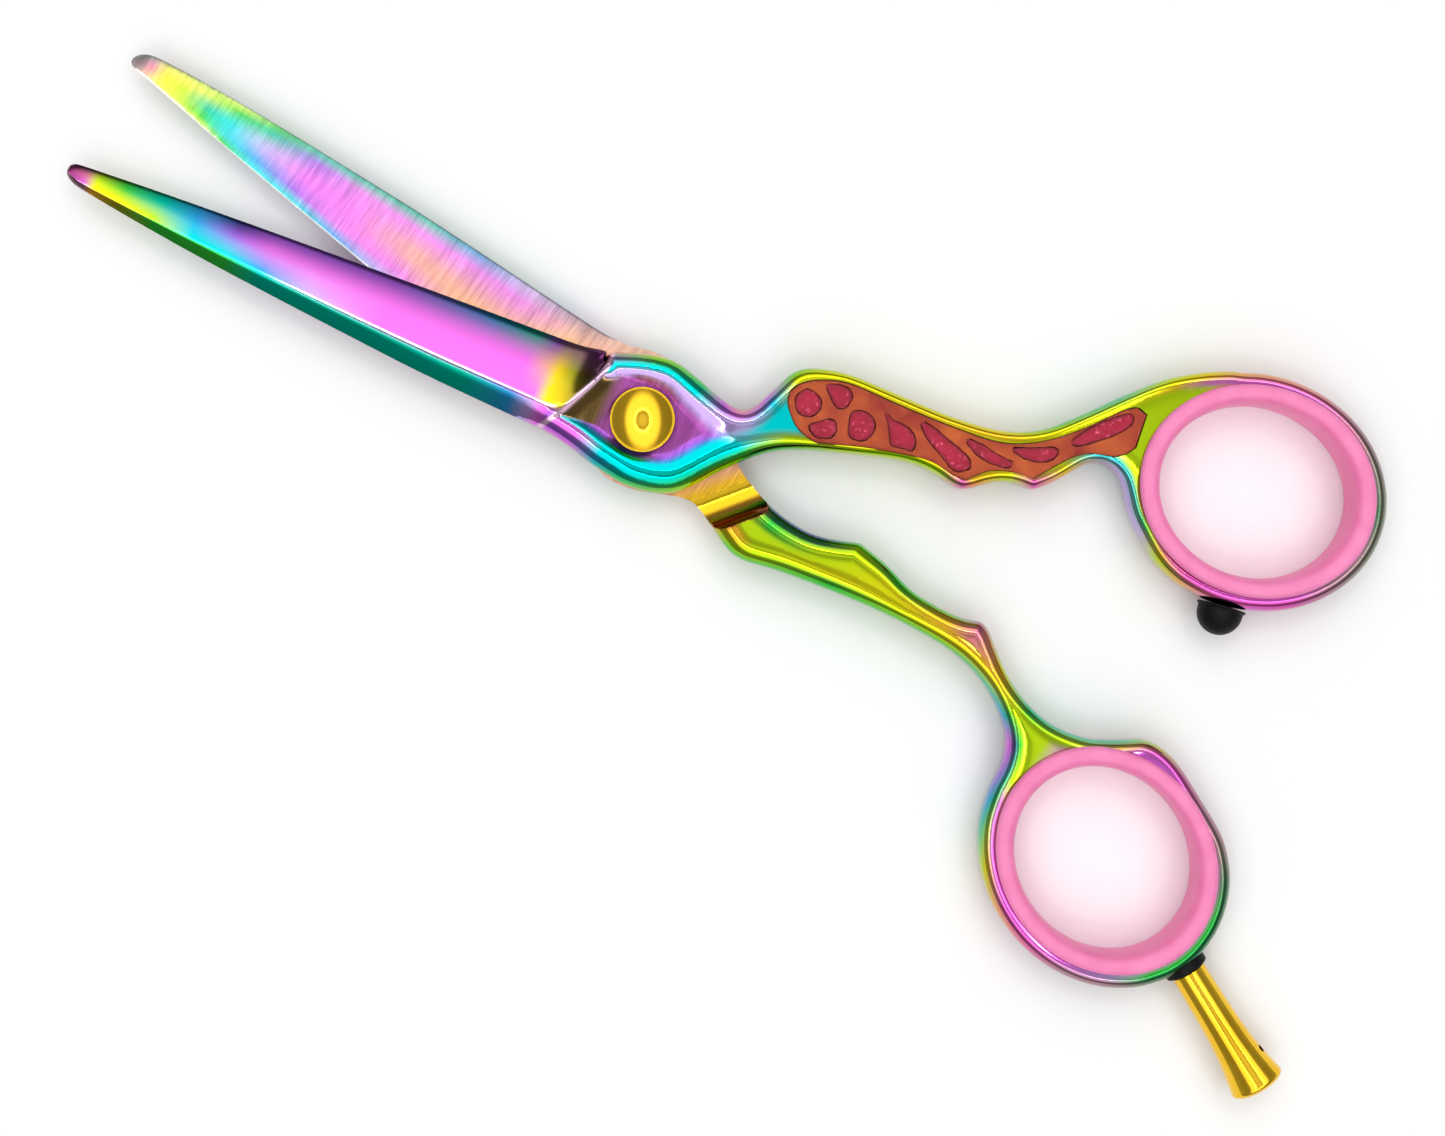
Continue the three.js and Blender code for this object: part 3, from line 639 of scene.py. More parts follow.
# Along the upper blade's outer face: x, then by the edge, on the bevel, by the ridge, on the spine.
UPPER_BLADE = [
    (-63, "plum", "magenta", "magenta", "mauve"), (-61, "mauve", "rose", "pink", "mauve"),
    (-60, "olive", "lime", "yellow", "gold"), (-57, "green", "green", "yellow", "olive"),
    (-53, "teal", "teal", "lime", "green"), (-49, "blue", "blue", "cyan", "green"),
    (-45, "indigo", "violet", "cyan", "green"), (-41, "violet", "pink", "blue", "teal"),
    (-36, "violet", "pink", "lilac", "teal"), (-28, "violet", "pink", "pink", "teal"),
    (-18, "blue", "pink", "pink", "teal"), (-13, "teal", "pink", "pink", "blue"),
    (-11, "violet", "peach", "pink", "lilac"), (-9.8, "mauve", "amber", "yellow", "pink"),
    # At -8.4 and -7 the colours darken into olive, umber and plum as painted shade on the steep rise to
    # the shoulder.
    (-8.4, "mauve", "olive", "amber", "violet"), (-7, "plum", "umber", "olive", "violet"),
]
# Along the mating faces: x, then from the cutting edge to the spine.
MATING_FACE = [
    (-63, "smoke", "mauve", "mauve", "smoke", "smoke"), (-61, "peach", "peach", "rose", "mauve", "smoke"),
    (-59.5, "yellow", "yellow", "yellow", "yellow", "olive"),
    (-57, "lime", "lime", "lime", "yellow", "lime"), (-54, "lime", "green", "teal", "lime", "lime"),
    (-51, "green", "cyan", "cyan", "green", "lime"), (-47, "cyan", "blue", "lilac", "teal", "green"),
    (-42, "cyan", "violet", "pink", "violet", "teal"), (-36, "blue", "pink", "pink", "pink", "teal"),
    (-29, "lilac", "pink", "peach", "pink", "teal"), (-23, "pink", "peach", "peach", "pink", "blue"),
    (-17, "peach", "amber", "peach", "pink", "lilac"), (-11, "gold", "amber", "amber", "peach", "mauve"),
    (-6, "amber", "amber", "peach", "peach", "peach"), (12, "peach", "peach", "peach", "peach", "peach"),
]
# Round each half: a place on the outline, then the colours on its side, rounding and crest. The dark
# smoke, bottle and indigo entries are the coating's colours darkened as painted shade.
EDGES = {
    "upper": [
        (-6, 5, "mauve", "violet", "cyan"), (-1, 7, "lime", "green", "cyan"),
        (4.5, 6, "green", "teal", "cyan"), (7, 5, "pink", "violet", "lilac"),
        (8.5, 5, "peach", "pink", "lilac"), (10.5, 7, "pink", "blue", "cyan"),
        (12, 10, "green", "lime", "yellow"), (15, 12, "lime", "yellow", "yellow"),
        (33, 13.5, "yellow", "gold", "yellow"), (38, 16, "green", "yellow", "yellow"),
        (43, 21, "teal", "lime", "yellow"), (47, 25, "lime", "yellow", "gold"),
        (50, 27, "yellow", "gold", "pink"), (54, 28.5, "gold", "rose", "pink"),
        (60, 29.5, "peach", "rose", "pink"), (65.5, 28, "mauve", "mauve", "rose"),
        (69, 26, "mauve", "smoke", "mauve"), (72, 21, "smoke", "smoke", "bottle"),
        (72, 16, "smoke", "smoke", "mauve"), (70, 11.5, "mauve", "mauve", "mauve"),
        (67, 8.5, "magenta", "magenta", "pink"), (61, 6, "pink", "magenta", "pink"),
        (56, 6.5, "gold", "magenta", "magenta"), (52.5, 7.5, "lime", "gold", "magenta"),
        (50, 9.5, "lilac", "green", "gold"), (48, 11.5, "lilac", "teal", "yellow"),
        (46, 14, "lilac", "cyan", "lime"), (43.5, 14, "mauve", "cyan", "teal"),
        (41, 12, "gold", "yellow", "yellow"), (38.6, 9, "magenta", "magenta", "coral"),
        (36, 9, "lime", "yellow", "yellow"), (33, 7, "coral", "gold", "gold"),
        (32, 6, "magenta", "magenta", "gold"), (29, 7, "lime", "yellow", "yellow"),
        (20, 5.5, "lime", "yellow", "yellow"), (14.5, 3, "green", "lime", "lime"),
        (11, 0.5, "green", "green", "cyan"), (7, -4.5, "lime", "green", "teal"),
        (0, -6.5, "green", "teal", "cyan"), (-3, -6, "teal", "blue", "cyan"),
        (-6, -5.5, "pink", "violet", "pink"),
    ],
    "lower": [
        (-6, 5, "mauve", "mauve", "gold"), (-1, 6.5, "teal", "teal", "cyan"),
        (4.5, 5.5, "lime", "green", "teal"), (8, 4, "peach", "gold", "gold"),
        (11, 4.5, "gold", "gold", "gold"), (14, 5.5, "green", "lime", "gold"),
        (17, 5.5, "green", "lime", "lime"), (25, 3, "green", "green", "yellow"),
        (32, 2, "green", "lime", "yellow"), (38, 1, "green", "yellow", "gold"),
        (43.5, 2, "teal", "yellow", "gold"), (46.5, 3.5, "blue", "green", "lime"),
        (48.5, 5.5, "pink", "indigo", "green"), (49.5, 8.5, "violet", "teal", "lime"),
        (50, 11, "blue", "green", "pink"), (51, 14, "teal", "lime", "pink"),
        (53.5, 17, "lime", "gold", "pink"), (57, 19.5, "gold", "magenta", "pink"),
        (61.5, 21, "rose", "magenta", "pink"), (66, 21.5, "mauve", "mauve", "pink"),
        (70, 20, "mauve", "mauve", "lilac"), (74, 17, "smoke", "bottle", "green"),
        (76.5, 12, "bottle", "bottle", "green"), (76.5, 8, "smoke", "bottle", "green"),
        (75, 4, "smoke", "bottle", "smoke"), (72.5, 1.5, "mauve", "smoke", "mauve"),
        (69, -0.5, "mauve", "mauve", "rose"), (65, -2.5, "mauve", "magenta", "pink"),
        (61, -3, "lime", "magenta", "pink"), (57.5, -1.5, "teal", "gold", "pink"),
        (53, 1, "teal", "lime", "lime"), (48.5, 1, "teal", "green", "lime"),
        (44, -0.5, "lime", "gold", "gold"), (39.5, -3, "mauve", "rose", "rose"),
        (36.5, -2, "green", "gold", "gold"), (30.5, -2, "green", "green", "yellow"),
        (25, -2.5, "green", "lime", "lime"), (21.5, -1, "indigo", "bottle", "lime"),
        (16.5, 0, "indigo", "bottle", "green"), (12, -1, "teal", "gold", "gold"),
        (8, -3.5, "violet", "violet", "lilac"), (3, -6.5, "blue", "blue", "cyan"),
        (-3, -6, "lime", "teal", "cyan"), (-6.5, -5, "rose", "rose", "gold"),
    ],
}
# Along the middle of each handle's face.
HANDLE_MIDDLE = {
    "upper": [(9, "cyan"), (15.5, "cyan"), (17.5, "lime"), (50, "lime"), (52.5, "gold"), (55, "pink")],
    "lower": [(8, "yellow"), (14, "lime"), (22, "lime"), (31, "yellow"), (36, "gold"), (39.5, "rose"),
              (42, "peach"), (44, "lime"), (51.5, "lime"), (54, "pink")],
}
# The handles' middles are brightened beyond the coating's colour as a painted sheen.
MIDDLE_PAINTED_SHEEN = 1.22


def mixed(first, second, share):
    return first + (second - first) * np.asarray(share)[:, None]


def palette(names):
    return COATING_STRENGTH * np.array([PALETTE[name] for name in names])


def blended(values, places, names, period=None):
    """Colours at values along a line on which named colours are placed."""
    colours = palette(names)
    return np.stack([np.interp(values, places, colours[:, k], period=period) for k in range(3)], 1)


def between(columns, place):
    """Blends between neighbouring columns of colours at column numbers that need not be whole."""
    columns = np.array(columns)
    low = np.minimum(place.astype(int), len(columns) - 2)
    rows = np.arange(len(place))
    return mixed(columns[low, rows], columns[low + 1, rows], place - low)


def banded(values, place, table):
    """Colours of a table's rows at values along its first column, and across its other columns."""
    first, *others = zip(*table)
    return between([blended(values, first, names) for names in others], place)


# Distance in from the outline, and the column of EDGES that holds there.
EDGE_BANDS = ([0.05, 0.75, 1.25], [0, 1, 2])
MIDDLE_BLEND = 0.8         # width over which a handle's crest turns into its middle


def edge_colour_and_light(shape, distance, walk):
    """Colours by the nearest place on the outline and the distance in from it."""
    table = EDGES[shape.half]
    places = nearest_on(shape.outline, np.array([row[:2] for row in table], float))[1]
    total = np.hypot(*(np.roll(shape.outline, -1, 0) - shape.outline).T).sum()
    columns = [blended(walk, places, [row[k] for row in table], total) for k in (2, 3, 4)]
    return between(columns, np.interp(distance, *EDGE_BANDS))


def handle_colour_and_light(shape, points, distance, walk, radius):
    # The middle's colour is brightened as a painted sheen.
    middle = MIDDLE_PAINTED_SHEEN * blended(points[:, 0], *zip(*HANDLE_MIDDLE[shape.half]))
    share = smoothstep((distance - radius - 0.1) / MIDDLE_BLEND) * (points[:, 0] > 8)
    return mixed(edge_colour_and_light(shape, distance, walk), middle, share)


# Colours down the two slopes of the recess, by the share of the slope. Towards the floor they turn to
# dark plum: the coating's purple darkened as painted shade.
RECESS_EDGE_SIDE = [(0, "lilac"), (0.4, "lilac"), (0.7, "plum")]
RECESS_SPINE_SIDE = [(0, "cyan"), (0.3, "cyan"), (0.45, "blue"), (0.65, "violet"), (1, "plum")]


def recess_colour_and_shade(spots):
    spine_side = smoothstep(0.5 - above_middle(spots.points) / 1.6)
    colour = mixed(blended(spots.down, *zip(*RECESS_EDGE_SIDE)),
                   blended(spots.down, *zip(*RECESS_SPINE_SIDE)), spine_side)
    # Dark umber on the facet by the shoulder is painted shade on its steep wall.
    by_shoulder = smoothstep((-2.6 - spots.points[:, 0]) / 2.2)
    return mixed(colour, palette(["umber"]), by_shoulder * spots.on_facet)


# Share of the way across the upper blade, and the column of UPPER_BLADE that holds there.
BLADE_BANDS = ([0.05, 0.3, 0.7, 0.78], [0, 1, 2, 3])
# The steep part of the bevel is darkened as painted shade, and the colour is darker at the tip.
BEVEL_PAINTED_SHADE = ([0, 0.12, 0.28, 0.45], [0.32, 0.42, 0.72, 1])
TIP_DIMMING = ([-63, -61.5, -60], [0.35, 0.65, 1])
SHOULDER_BLEND = 0.25      # width over which the shank's colours turn into the blade's
# The pale line on the shoulder's crest is a painted highlight.
CREST_HIGHLIGHT_BAND = 0.3           # scale of the pale line on the shoulder's crest


def outer_colour_and_light(spots):
    shape, points = spots.shape, spots.points
    shank = handle_colour_and_light(shape, points, spots.distance, spots.walk, spots.radius)
    in_recess = smoothstep((spots.from_side + 0.1) / 0.25)
    in_recess = in_recess * smoothstep((RECESS_END + 1 - points[:, 0]) / 4)
    shank = mixed(shank, recess_colour_and_shade(spots), in_recess * (spots.past < 0.1))
    across = shape.across(points)
    # Painted shade on the steep part of the bevel, times the darkening at the tip.
    dimming = np.interp(across, *BEVEL_PAINTED_SHADE) * np.interp(points[:, 0], *TIP_DIMMING)
    blade = banded(points[:, 0], np.interp(across, *BLADE_BANDS), UPPER_BLADE) * dimming[:, None]
    on_blade = smoothstep((spots.past + 0.05) / SHOULDER_BLEND) * (points[:, 0] < HEEL + 1)
    # A pale pink line along the shoulder's crest is a painted highlight.
    painted_crest_highlight = smoothstep(1.3 - np.abs(spots.past) / CREST_HIGHLIGHT_BAND) * (points[:, 0] < HEEL)
    return mixed(mixed(shank, blade, on_blade), palette(["highlight_blush"]), painted_crest_highlight)


def outer_face(shape, points):
    """Heights, colours and brushing of the outer face."""
    spots = OuterSpots(shape, points)
    slope = np.minimum(spots.down, spots.shoulder_slope) * smoothstep((RECESS_END + 1 - points[:, 0]) / 3)
    satin = 0.9 * smoothstep((slope - 0.25) / 0.25)
    return spots.heights(), outer_colour_and_light(spots), satin


# Along the flat between the pivot and the ramp, and down the ramp, by the distance past its start.
# Down the ramp the amber band is a painted highlight and the dark brown where it turns steep is
# painted shade, both over the coating's gold.
RAMP_COLOUR_AND_LIGHT = [(-4, "peach"), (-1.8, "peach"), (-0.6, "gold"), (0.6, "amber"), (1.4, "amber"),
                (1.9, "gold"), (2.5, "ramp_shade_brown")]
# Share of the way across a mating face, and the column of MATING_FACE that holds there.
MATING_BANDS = ([0.04, 0.2, 0.5, 0.8, 0.96], [0, 1, 2, 3, 4])
MATING_SATURATION = ([0, 0.5, 0.85, 1], [0.8, 0.9, 0.75, 0.6])
HONED = (0.80, 0.76, 0.68)              # bare steel along the cutting edge
HONED_WIDTH = 0.16
BACK_LINE = (0.10, 0.10, 0.12)          # dark line along the spine
BACK_LINE_WIDTH = 0.14
BLADE_END = -7                          # x where the mating face's blade markings stop


def inner_colour_and_light(shape, points, distance, walk):
    across = shape.across(np.c_[np.minimum(points[:, 0], -6), points[:, 1]])
    band = np.where(points[:, 0] > -6, 2, np.interp(across, *MATING_BANDS))
    dull = smoothstep((shape.tip + 2.2 - points[:, 0]) / 1.4)
    saturation = np.interp(across, *MATING_SATURATION) * (1 - 0.6 * dull)
    flat = banded(points[:, 0], band, MATING_FACE) * (1.2 - 0.6 * dull)[:, None]
    flat = mixed(flat.mean(1, keepdims=True), flat, saturation)
    on_blade = (points[:, 0] < BLADE_END) & (points[:, 0] > shape.tip + 1)
    width = 8 * smoothstep((points[:, 0] - shape.tip) / 40 + 0.3)
    by_edge = np.clip(1 - across * width / HONED_WIDTH, 0, 1)
    by_spine = np.clip(1 - (1 - across) * width / BACK_LINE_WIDTH, 0, 1)
    flat = mixed(flat, np.array(HONED), by_edge * on_blade)
    flat = mixed(flat, np.array(BACK_LINE), by_spine * on_blade)
    past = ramp_place(points) - RAMP_START
    # The ramp's colours hold a painted highlight band and painted shade at its steep end.
    flat = mixed(flat, blended(past, *zip(*RAMP_COLOUR_AND_LIGHT)), smoothstep((past + 5) / 1.5))
    handle = handle_colour_and_light(shape, points, distance, walk, rounding_at(shape, "in", points))
    on_handle = (past > 0) & (inner_height(shape, points) > ramp_height(ramp_place(points)) + 1e-6)
    return np.where(on_handle[:, None], handle, flat)


def inner_face(shape, points):
    distance, walk, _ = nearest_on(shape.outline, points)
    brushed = (ramp_place(points) < RAMP_START) & (points[:, 0] < 12)
    return inner_height(shape, points), inner_colour_and_light(shape, points, distance, walk), brushed


# ---------------------------------------------------------------- the two forgings


class Body:
    """Vertices, faces and stored values that grow into one mesh."""

    def __init__(self):
        self.places, self.colours, self.brushed, self.faces, self.sharp = [], [], [], [], []

    def add(self, places, colours, brushed):
        first = len(self.places)
        self.places += [tuple(p) for p in places]
        self.colours += [tuple(c) for c in colours]
        self.brushed += [float(b) for b in np.broadcast_to(brushed, len(places))]
        return first

    def wall(self, upper, lower):
        """Faces between two loops of vertices that match one to one."""
        count = len(upper)
        for i in range(count):
            j = (i + 1) % count
            self.faces.append((upper[i], lower[i], lower[j], upper[j]))


def surface(body, net, describe, up):
    points, faces, loops, sharp = net.triangles()
    heights, colours, brushed = describe(points)
    first = body.add(np.c_[points, heights], colours, brushed)
    faces = faces if up else faces[:, ::-1]
    body.faces += [tuple(int(v) + first for v in face) for face in faces]
    body.sharp += [(a + first, b + first) for a, b in sharp]
    return [[v + first for v in loop] for loop in loops]


def smooth_object(name, mesh, sharp_angle):
    """A new object with smooth shading, apart from edges sharper than an angle in degrees."""
    mesh.polygons.foreach_set("use_smooth", [True] * len(mesh.polygons))
    mesh.set_sharp_from_angle(angle=math.radians(sharp_angle))
    made = bpy.data.objects.new(name, mesh)
    bpy.context.scene.collection.objects.link(made)
    return made


FORGING_SHARP = 38         # degrees between faces that make a forging's edge a sharp one


def mesh_object(name, body, half):
    mesh = bpy.data.meshes.new(name)
    mesh.from_pydata([tuple(p) for p in to_row(body.places, half)], [], body.faces)
    mesh.validate()
    # The stored colours are the coating's colours with painted shade and painted highlights blended in.
    colours = mesh.attributes.new("coating_and_painted_light", "FLOAT_COLOR", "POINT")
    colours.data.foreach_set("color", np.c_[np.array(body.colours), np.ones(len(body.places))].ravel())
    brushed = mesh.attributes.new("brushed", "FLOAT", "POINT")
    brushed.data.foreach_set("value", body.brushed)
    place = mesh.attributes.new("place", "FLOAT_VECTOR", "POINT")
    place.data.foreach_set("vector", np.array(body.places).ravel())
    made = smooth_object(name, mesh, FORGING_SHARP)
    wanted = {tuple(sorted(edge)) for edge in body.sharp}
    for edge in mesh.edges:
        if tuple(sorted(edge.vertices)) in wanted:
            edge.use_edge_sharp = True
    return made


def forging(half):
    shape = Shape(half)
    body = Body()
    holes = [shape.bore, shape.pivot_bore]
    pocket = []
    if half == "upper":
        loop = corners_of(section("upper_half", "upper", POCKET_HEIGHT)[-1])
        pocket = [spline(loop, EDGE_STEP, sharp=POCKET_CORNERS)]
    outer = surface(body, outer_net(shape, holes + pocket), lambda p: outer_face(shape, p), up=True)
    inner = surface(body, inner_net(shape, holes), lambda p: inner_face(shape, p), up=False)
    body.wall(outer[0], inner[0])
    for k in (1, 2):
        body.wall(inner[k], outer[k])
    for loop in pocket:
        floor = surface(body, Net([loop]), pocket_floor, up=True)
        body.wall(floor[0], outer[3])
    return mesh_object(f"{half}_forging", body, half)


def pocket_floor(points):
    flat = np.full(len(points), POCKET_FLOOR)
    return flat, np.tile(palette(["umber"]), (len(points), 1)), 0.0


# ---------------------------------------------------------------- material helpers


def srgb(red, green, blue):
    """Linear colour of an 8-bit one."""
    parts = [c / 255 for c in (red, green, blue)]
    return tuple(p / 12.92 if p <= 0.04045 else ((p + 0.055) / 1.055) ** 2.4 for p in parts) + (1.0,)


class Nodes:
    """A node tree, with short ways to add what the materials need."""

    def __init__(self, tree):
        self.tree = tree

    def add(self, kind, inputs=None, **settings):
        node = self.tree.nodes.new(kind)
        for key, value in settings.items():
            setattr(node, key, value)
        for key, value in (inputs or {}).items():
            if isinstance(value, bpy.types.NodeSocket):
                self.tree.links.new(value, node.inputs[key])
            else:
                node.inputs[key].default_value = value
        return node

    def attribute(self, name, output):
        return self.add("ShaderNodeAttribute", attribute_name=name).outputs[output]

    def math(self, operation, a, b):
        return self.add("ShaderNodeMath", {0: a, 1: b}, operation=operation).outputs[0]

    def scaled(self, value, factor, start):
        """A value times a factor, from a start upwards."""
        return self.math("ADD", self.math("MULTIPLY", value, factor), start)

    def noise(self, vector, scale, detail=2.0, **more):
        inputs = {"Vector": vector, "Scale": scale, "Detail": detail, **more}
        return self.add("ShaderNodeTexNoise", inputs).outputs["Fac"]

    def stretched(self, vector, x, y, z):
        inputs = {0: vector, 1: (x, y, z)}
        return self.add("ShaderNodeVectorMath", inputs, operation="MULTIPLY").outputs[0]

    def mix(self, share, a, b, blend="MIX"):
        inputs = {0: share, 6: a, 7: b}
        return self.add("ShaderNodeMix", inputs, data_type="RGBA", blend_type=blend).outputs[2]

    def ramp(self, value, stops):
        node = self.add("ShaderNodeValToRGB", {0: value})
        for i, (place, colour) in enumerate(stops):
            element = node.color_ramp.elements[i] if i < 2 else node.color_ramp.elements.new(place)
            element.position = place
            element.color = colour
        return node.outputs[0]

    def bump(self, height, strength, distance):
        inputs = {"Height": height, "Strength": strength, "Distance": distance}
        return self.add("ShaderNodeBump", inputs).outputs[0]

    def object_place(self):
        return self.add("ShaderNodeTexCoord").outputs["Object"]


class Finish(Nodes):
    """A material's node tree, with a Principled shader to begin from."""

    def __init__(self, name, **settings):
        self.material = bpy.data.materials.new(name)
        self.material.use_nodes = True
        super().__init__(self.material.node_tree)
        self.shader = self.tree.nodes["Principled BSDF"]
        for key, value in settings.items():
            self.shader.inputs[key.replace("_", " ")].default_value = value

    def drive(self, **inputs):
        for key, value in inputs.items():
            self.tree.links.new(value, self.shader.inputs[key.replace("_", " ")])
        return self.material


# ---------------------------------------------------------------- materials


def rainbow_steel():
    """Polished coated steel, cross-brushed on the mating faces."""
    nodes = Finish("rainbow_steel", Metallic=1.0)
    # The vertex colours carry the coating together with painted shade and painted highlights.
    coating_and_painted_light = nodes.attribute("coating_and_painted_light", "Color")
    brushed = nodes.attribute("brushed", "Fac")
    place = nodes.attribute("place", "Vector")
    fine = nodes.noise(nodes.stretched(place, 9, 0.35, 0.35), 1.0, 3.0)
    broad = nodes.noise(nodes.stretched(place, 1.6, 0.12, 0.12), 1.0)
    streaks = nodes.math("ADD", nodes.math("MULTIPLY", fine, 0.6), nodes.math("MULTIPLY", broad, 0.5))
    spread = {"Value": streaks, "From Min": 0.35, "From Max": 0.75, "To Min": 0.62, "To Max": 1.25}
    shade = nodes.add("ShaderNodeMapRange", spread).outputs[0]
    streaked = nodes.mix(1.0, coating_and_painted_light, shade, "MULTIPLY")
    colour = nodes.mix(brushed, coating_and_painted_light, streaked)
    smear = nodes.scaled(nodes.noise(place, 0.8, 3.0), 0.06, 0.05)
    rough = nodes.math("ADD", smear, nodes.math("MULTIPLY", brushed, 0.24))
    normal = nodes.bump(nodes.math("MULTIPLY", fine, brushed), 0.25, 0.00003)
    return nodes.drive(Base_Color=colour, Roughness=rough, Normal=normal)


def gold():
    """Polished gold plate."""
    nodes = Finish("gold_plate", Metallic=1.0)
    cloud = nodes.noise(nodes.object_place(), 260.0, 3.0)
    colour = nodes.mix(cloud, srgb(232, 178, 30), srgb(246, 204, 58))
    return nodes.drive(Base_Color=colour, Roughness=nodes.scaled(cloud, 0.08, 0.08))


def steel():
    nodes = Finish("bare_steel", Metallic=1.0)
    lines = nodes.noise(nodes.stretched(nodes.object_place(), 900, 900, 9000), 1.0)
    colour = nodes.mix(lines, srgb(150, 154, 160), srgb(205, 208, 212))
    return nodes.drive(Base_Color=colour, Roughness=nodes.scaled(lines, 0.2, 0.22))


def pink_silicone():
    nodes = Finish("pink_silicone", Subsurface_Weight=0.25, Subsurface_Scale=0.002)
    place = nodes.object_place()
    cloud = nodes.noise(place, 420.0, 4.0)
    colour = nodes.mix(cloud, srgb(232, 112, 168), srgb(250, 146, 196))
    rough = nodes.scaled(cloud, 0.15, 0.34)
    grain = nodes.bump(nodes.noise(place, 5000.0), 0.12, 0.00002)
    return nodes.drive(Base_Color=colour, Roughness=rough, Normal=grain)


def black_rubber():
    nodes = Finish("black_rubber", Specular_IOR_Level=0.15)
    grain = nodes.noise(nodes.object_place(), 6000.0, 3.0)
    colour = nodes.mix(grain, srgb(3, 3, 4), srgb(12, 12, 13))
    rough = nodes.scaled(grain, 0.2, 0.42)
    return nodes.drive(Base_Color=colour, Roughness=rough, Normal=nodes.bump(grain, 0.2, 0.00002))


def nylon():
    nodes = Finish("nylon")
    cloud = nodes.noise(nodes.object_place(), 900.0)
    colour = nodes.mix(cloud, srgb(214, 212, 204), srgb(236, 234, 226))
    return nodes.drive(Base_Color=colour, Roughness=nodes.scaled(cloud, 0.2, 0.35))


INLAY_GLOSS = {"Coat_Weight": 0.3, "Coat_Roughness": 0.04, "Specular_IOR_Level": 0.2}


def inlay_orange():
    nodes = Finish("inlay_orange", **INLAY_GLOSS)
    cloud = nodes.noise(nodes.object_place(), 260.0, 4.0, Distortion=0.6)
    stops = [(0.3, srgb(168, 44, 30)), (0.5, srgb(196, 76, 34)), (0.7, srgb(222, 104, 40))]
    return nodes.drive(Base_Color=nodes.ramp(cloud, stops), Roughness=nodes.scaled(cloud, 0.2, 0.3))


def inlay_glitter():
    """Dark red by the field's rim, with bright flakes further in."""
    nodes = Finish("inlay_glitter", **INLAY_GLOSS)
    place = nodes.object_place()
    flakes = nodes.add("ShaderNodeTexVoronoi", {"Vector": place, "Scale": 3600.0})
    glint = nodes.ramp(flakes.outputs["Color"], [(0.74, (0, 0, 0, 1)), (0.95, (1, 1, 1, 1))])
    cloud = nodes.noise(place, 700.0, 3.0)
    inner = nodes.mix(cloud, srgb(150, 8, 40), srgb(222, 26, 76))
    inner = nodes.mix(glint, inner, srgb(255, 96, 140))
    colour = nodes.mix(nodes.attribute("from_rim", "Fac"), srgb(112, 12, 24), inner)
    return nodes.drive(Base_Color=colour, Roughness=nodes.scaled(cloud, 0.2, 0.25),
                       Metallic=nodes.math("MULTIPLY", glint, 0.3))


def clear_resin():
    nodes = Finish("clear_resin", Alpha=0.07, Base_Color=srgb(70, 36, 26))
    return nodes.drive(Roughness=nodes.scaled(nodes.noise(nodes.object_place(), 150.0), 0.03, 0.02))


# ---------------------------------------------------------------- round pieces


ROUNDING_STEPS = 5


def rounded_profile(corners):
    """A closed profile of (radius, height, rounding) corners, as a dense list of points."""
    count = len(corners)
    made = []
    for i in range(count):
        here = np.array(corners[i][:2], float)
        before, after = (np.array(corners[j][:2], float) for j in (i - 1, (i + 1) % count))
        if len(corners[i]) == 2:
            made.append(here)
            continue
        rounding = corners[i][2]
        into, out = here - before, after - here
        into, out = into / np.hypot(*into), out / np.hypot(*out)
        turn = math.acos(np.clip(into @ out, -1, 1))
        back = rounding * math.tan(turn / 2)
        start, end = here - into * back, here + out * back
        for t in np.linspace(0, 1, ROUNDING_STEPS + 1):
            made.append((1 - t) ** 2 * start + 2 * t * (1 - t) * here + t**2 * end)
    return made


ROUND_STEPS = 96


def lathe(profile, steps=ROUND_STEPS, squeeze=1.0):
    """Vertices and faces of a closed profile turned about z; squeeze scales y."""
    profile = [tuple(p) for p in profile]
    verts, rings = [], []
    for radius, height in profile:
        if radius < 1e-6:
            rings.append([len(verts)] * steps)
            verts.append((0, 0, height))
        else:
            rings.append(list(range(len(verts), len(verts) + steps)))
            verts += [(radius * math.cos(a), squeeze * radius * math.sin(a), height)
                      for a in np.linspace(0, 2 * math.pi, steps, False)]
    faces = []
    for low, high in zip(rings, rings[1:] + rings[:1]):
        for i in range(steps):
            j = (i + 1) % steps
            face = [low[i], low[j], high[j], high[i]]
            face = [v for k, v in enumerate(face) if v != face[k - 1]]
            if len(face) > 2:
                faces.append(face)
    return np.array(verts), faces


def placed(points, spot, turn, leaning=False):
    """Turns and moves points in a half's frame; a leaning piece's own z points along the turn."""
    points = np.asarray(points, float)
    if leaning:
        points = np.c_[points[:, 2], points[:, 1], -points[:, 0]]
    return points @ turn_z(turn).T + [spot[0], spot[1], 0]


def plain_object(name, points, faces, half, sharp_angle=40):
    mesh = bpy.data.meshes.new(name)
    mesh.from_pydata([tuple(p) for p in to_row(points, half)], [], faces)
    mesh.validate()
    work = bmesh.new()
    work.from_mesh(mesh)
    bmesh.ops.recalc_face_normals(work, faces=work.faces)
    work.to_mesh(mesh)
    work.free()
    return smooth_object(name, mesh, sharp_angle)


def finished(made, material, slot, body, *nodes):
    made.data.materials.clear()
    made.data.materials.append(material)
    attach(made, body)
    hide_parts(*nodes)
    return made


# Upper half of a ring liner's section, from the middle of the finger hole round the flange.
LINER_PROFILE = [
    (9.7, 0.0), (9.75, 1.2), (9.85, 2.2), (10.08, 3.0), (10.4, 3.4), (10.8, 3.5), (11.45, 3.49),
    (11.75, 3.38), (11.92, 3.12), (11.95, 2.9), (11.9, 2.66), (11.25, 2.65),
]


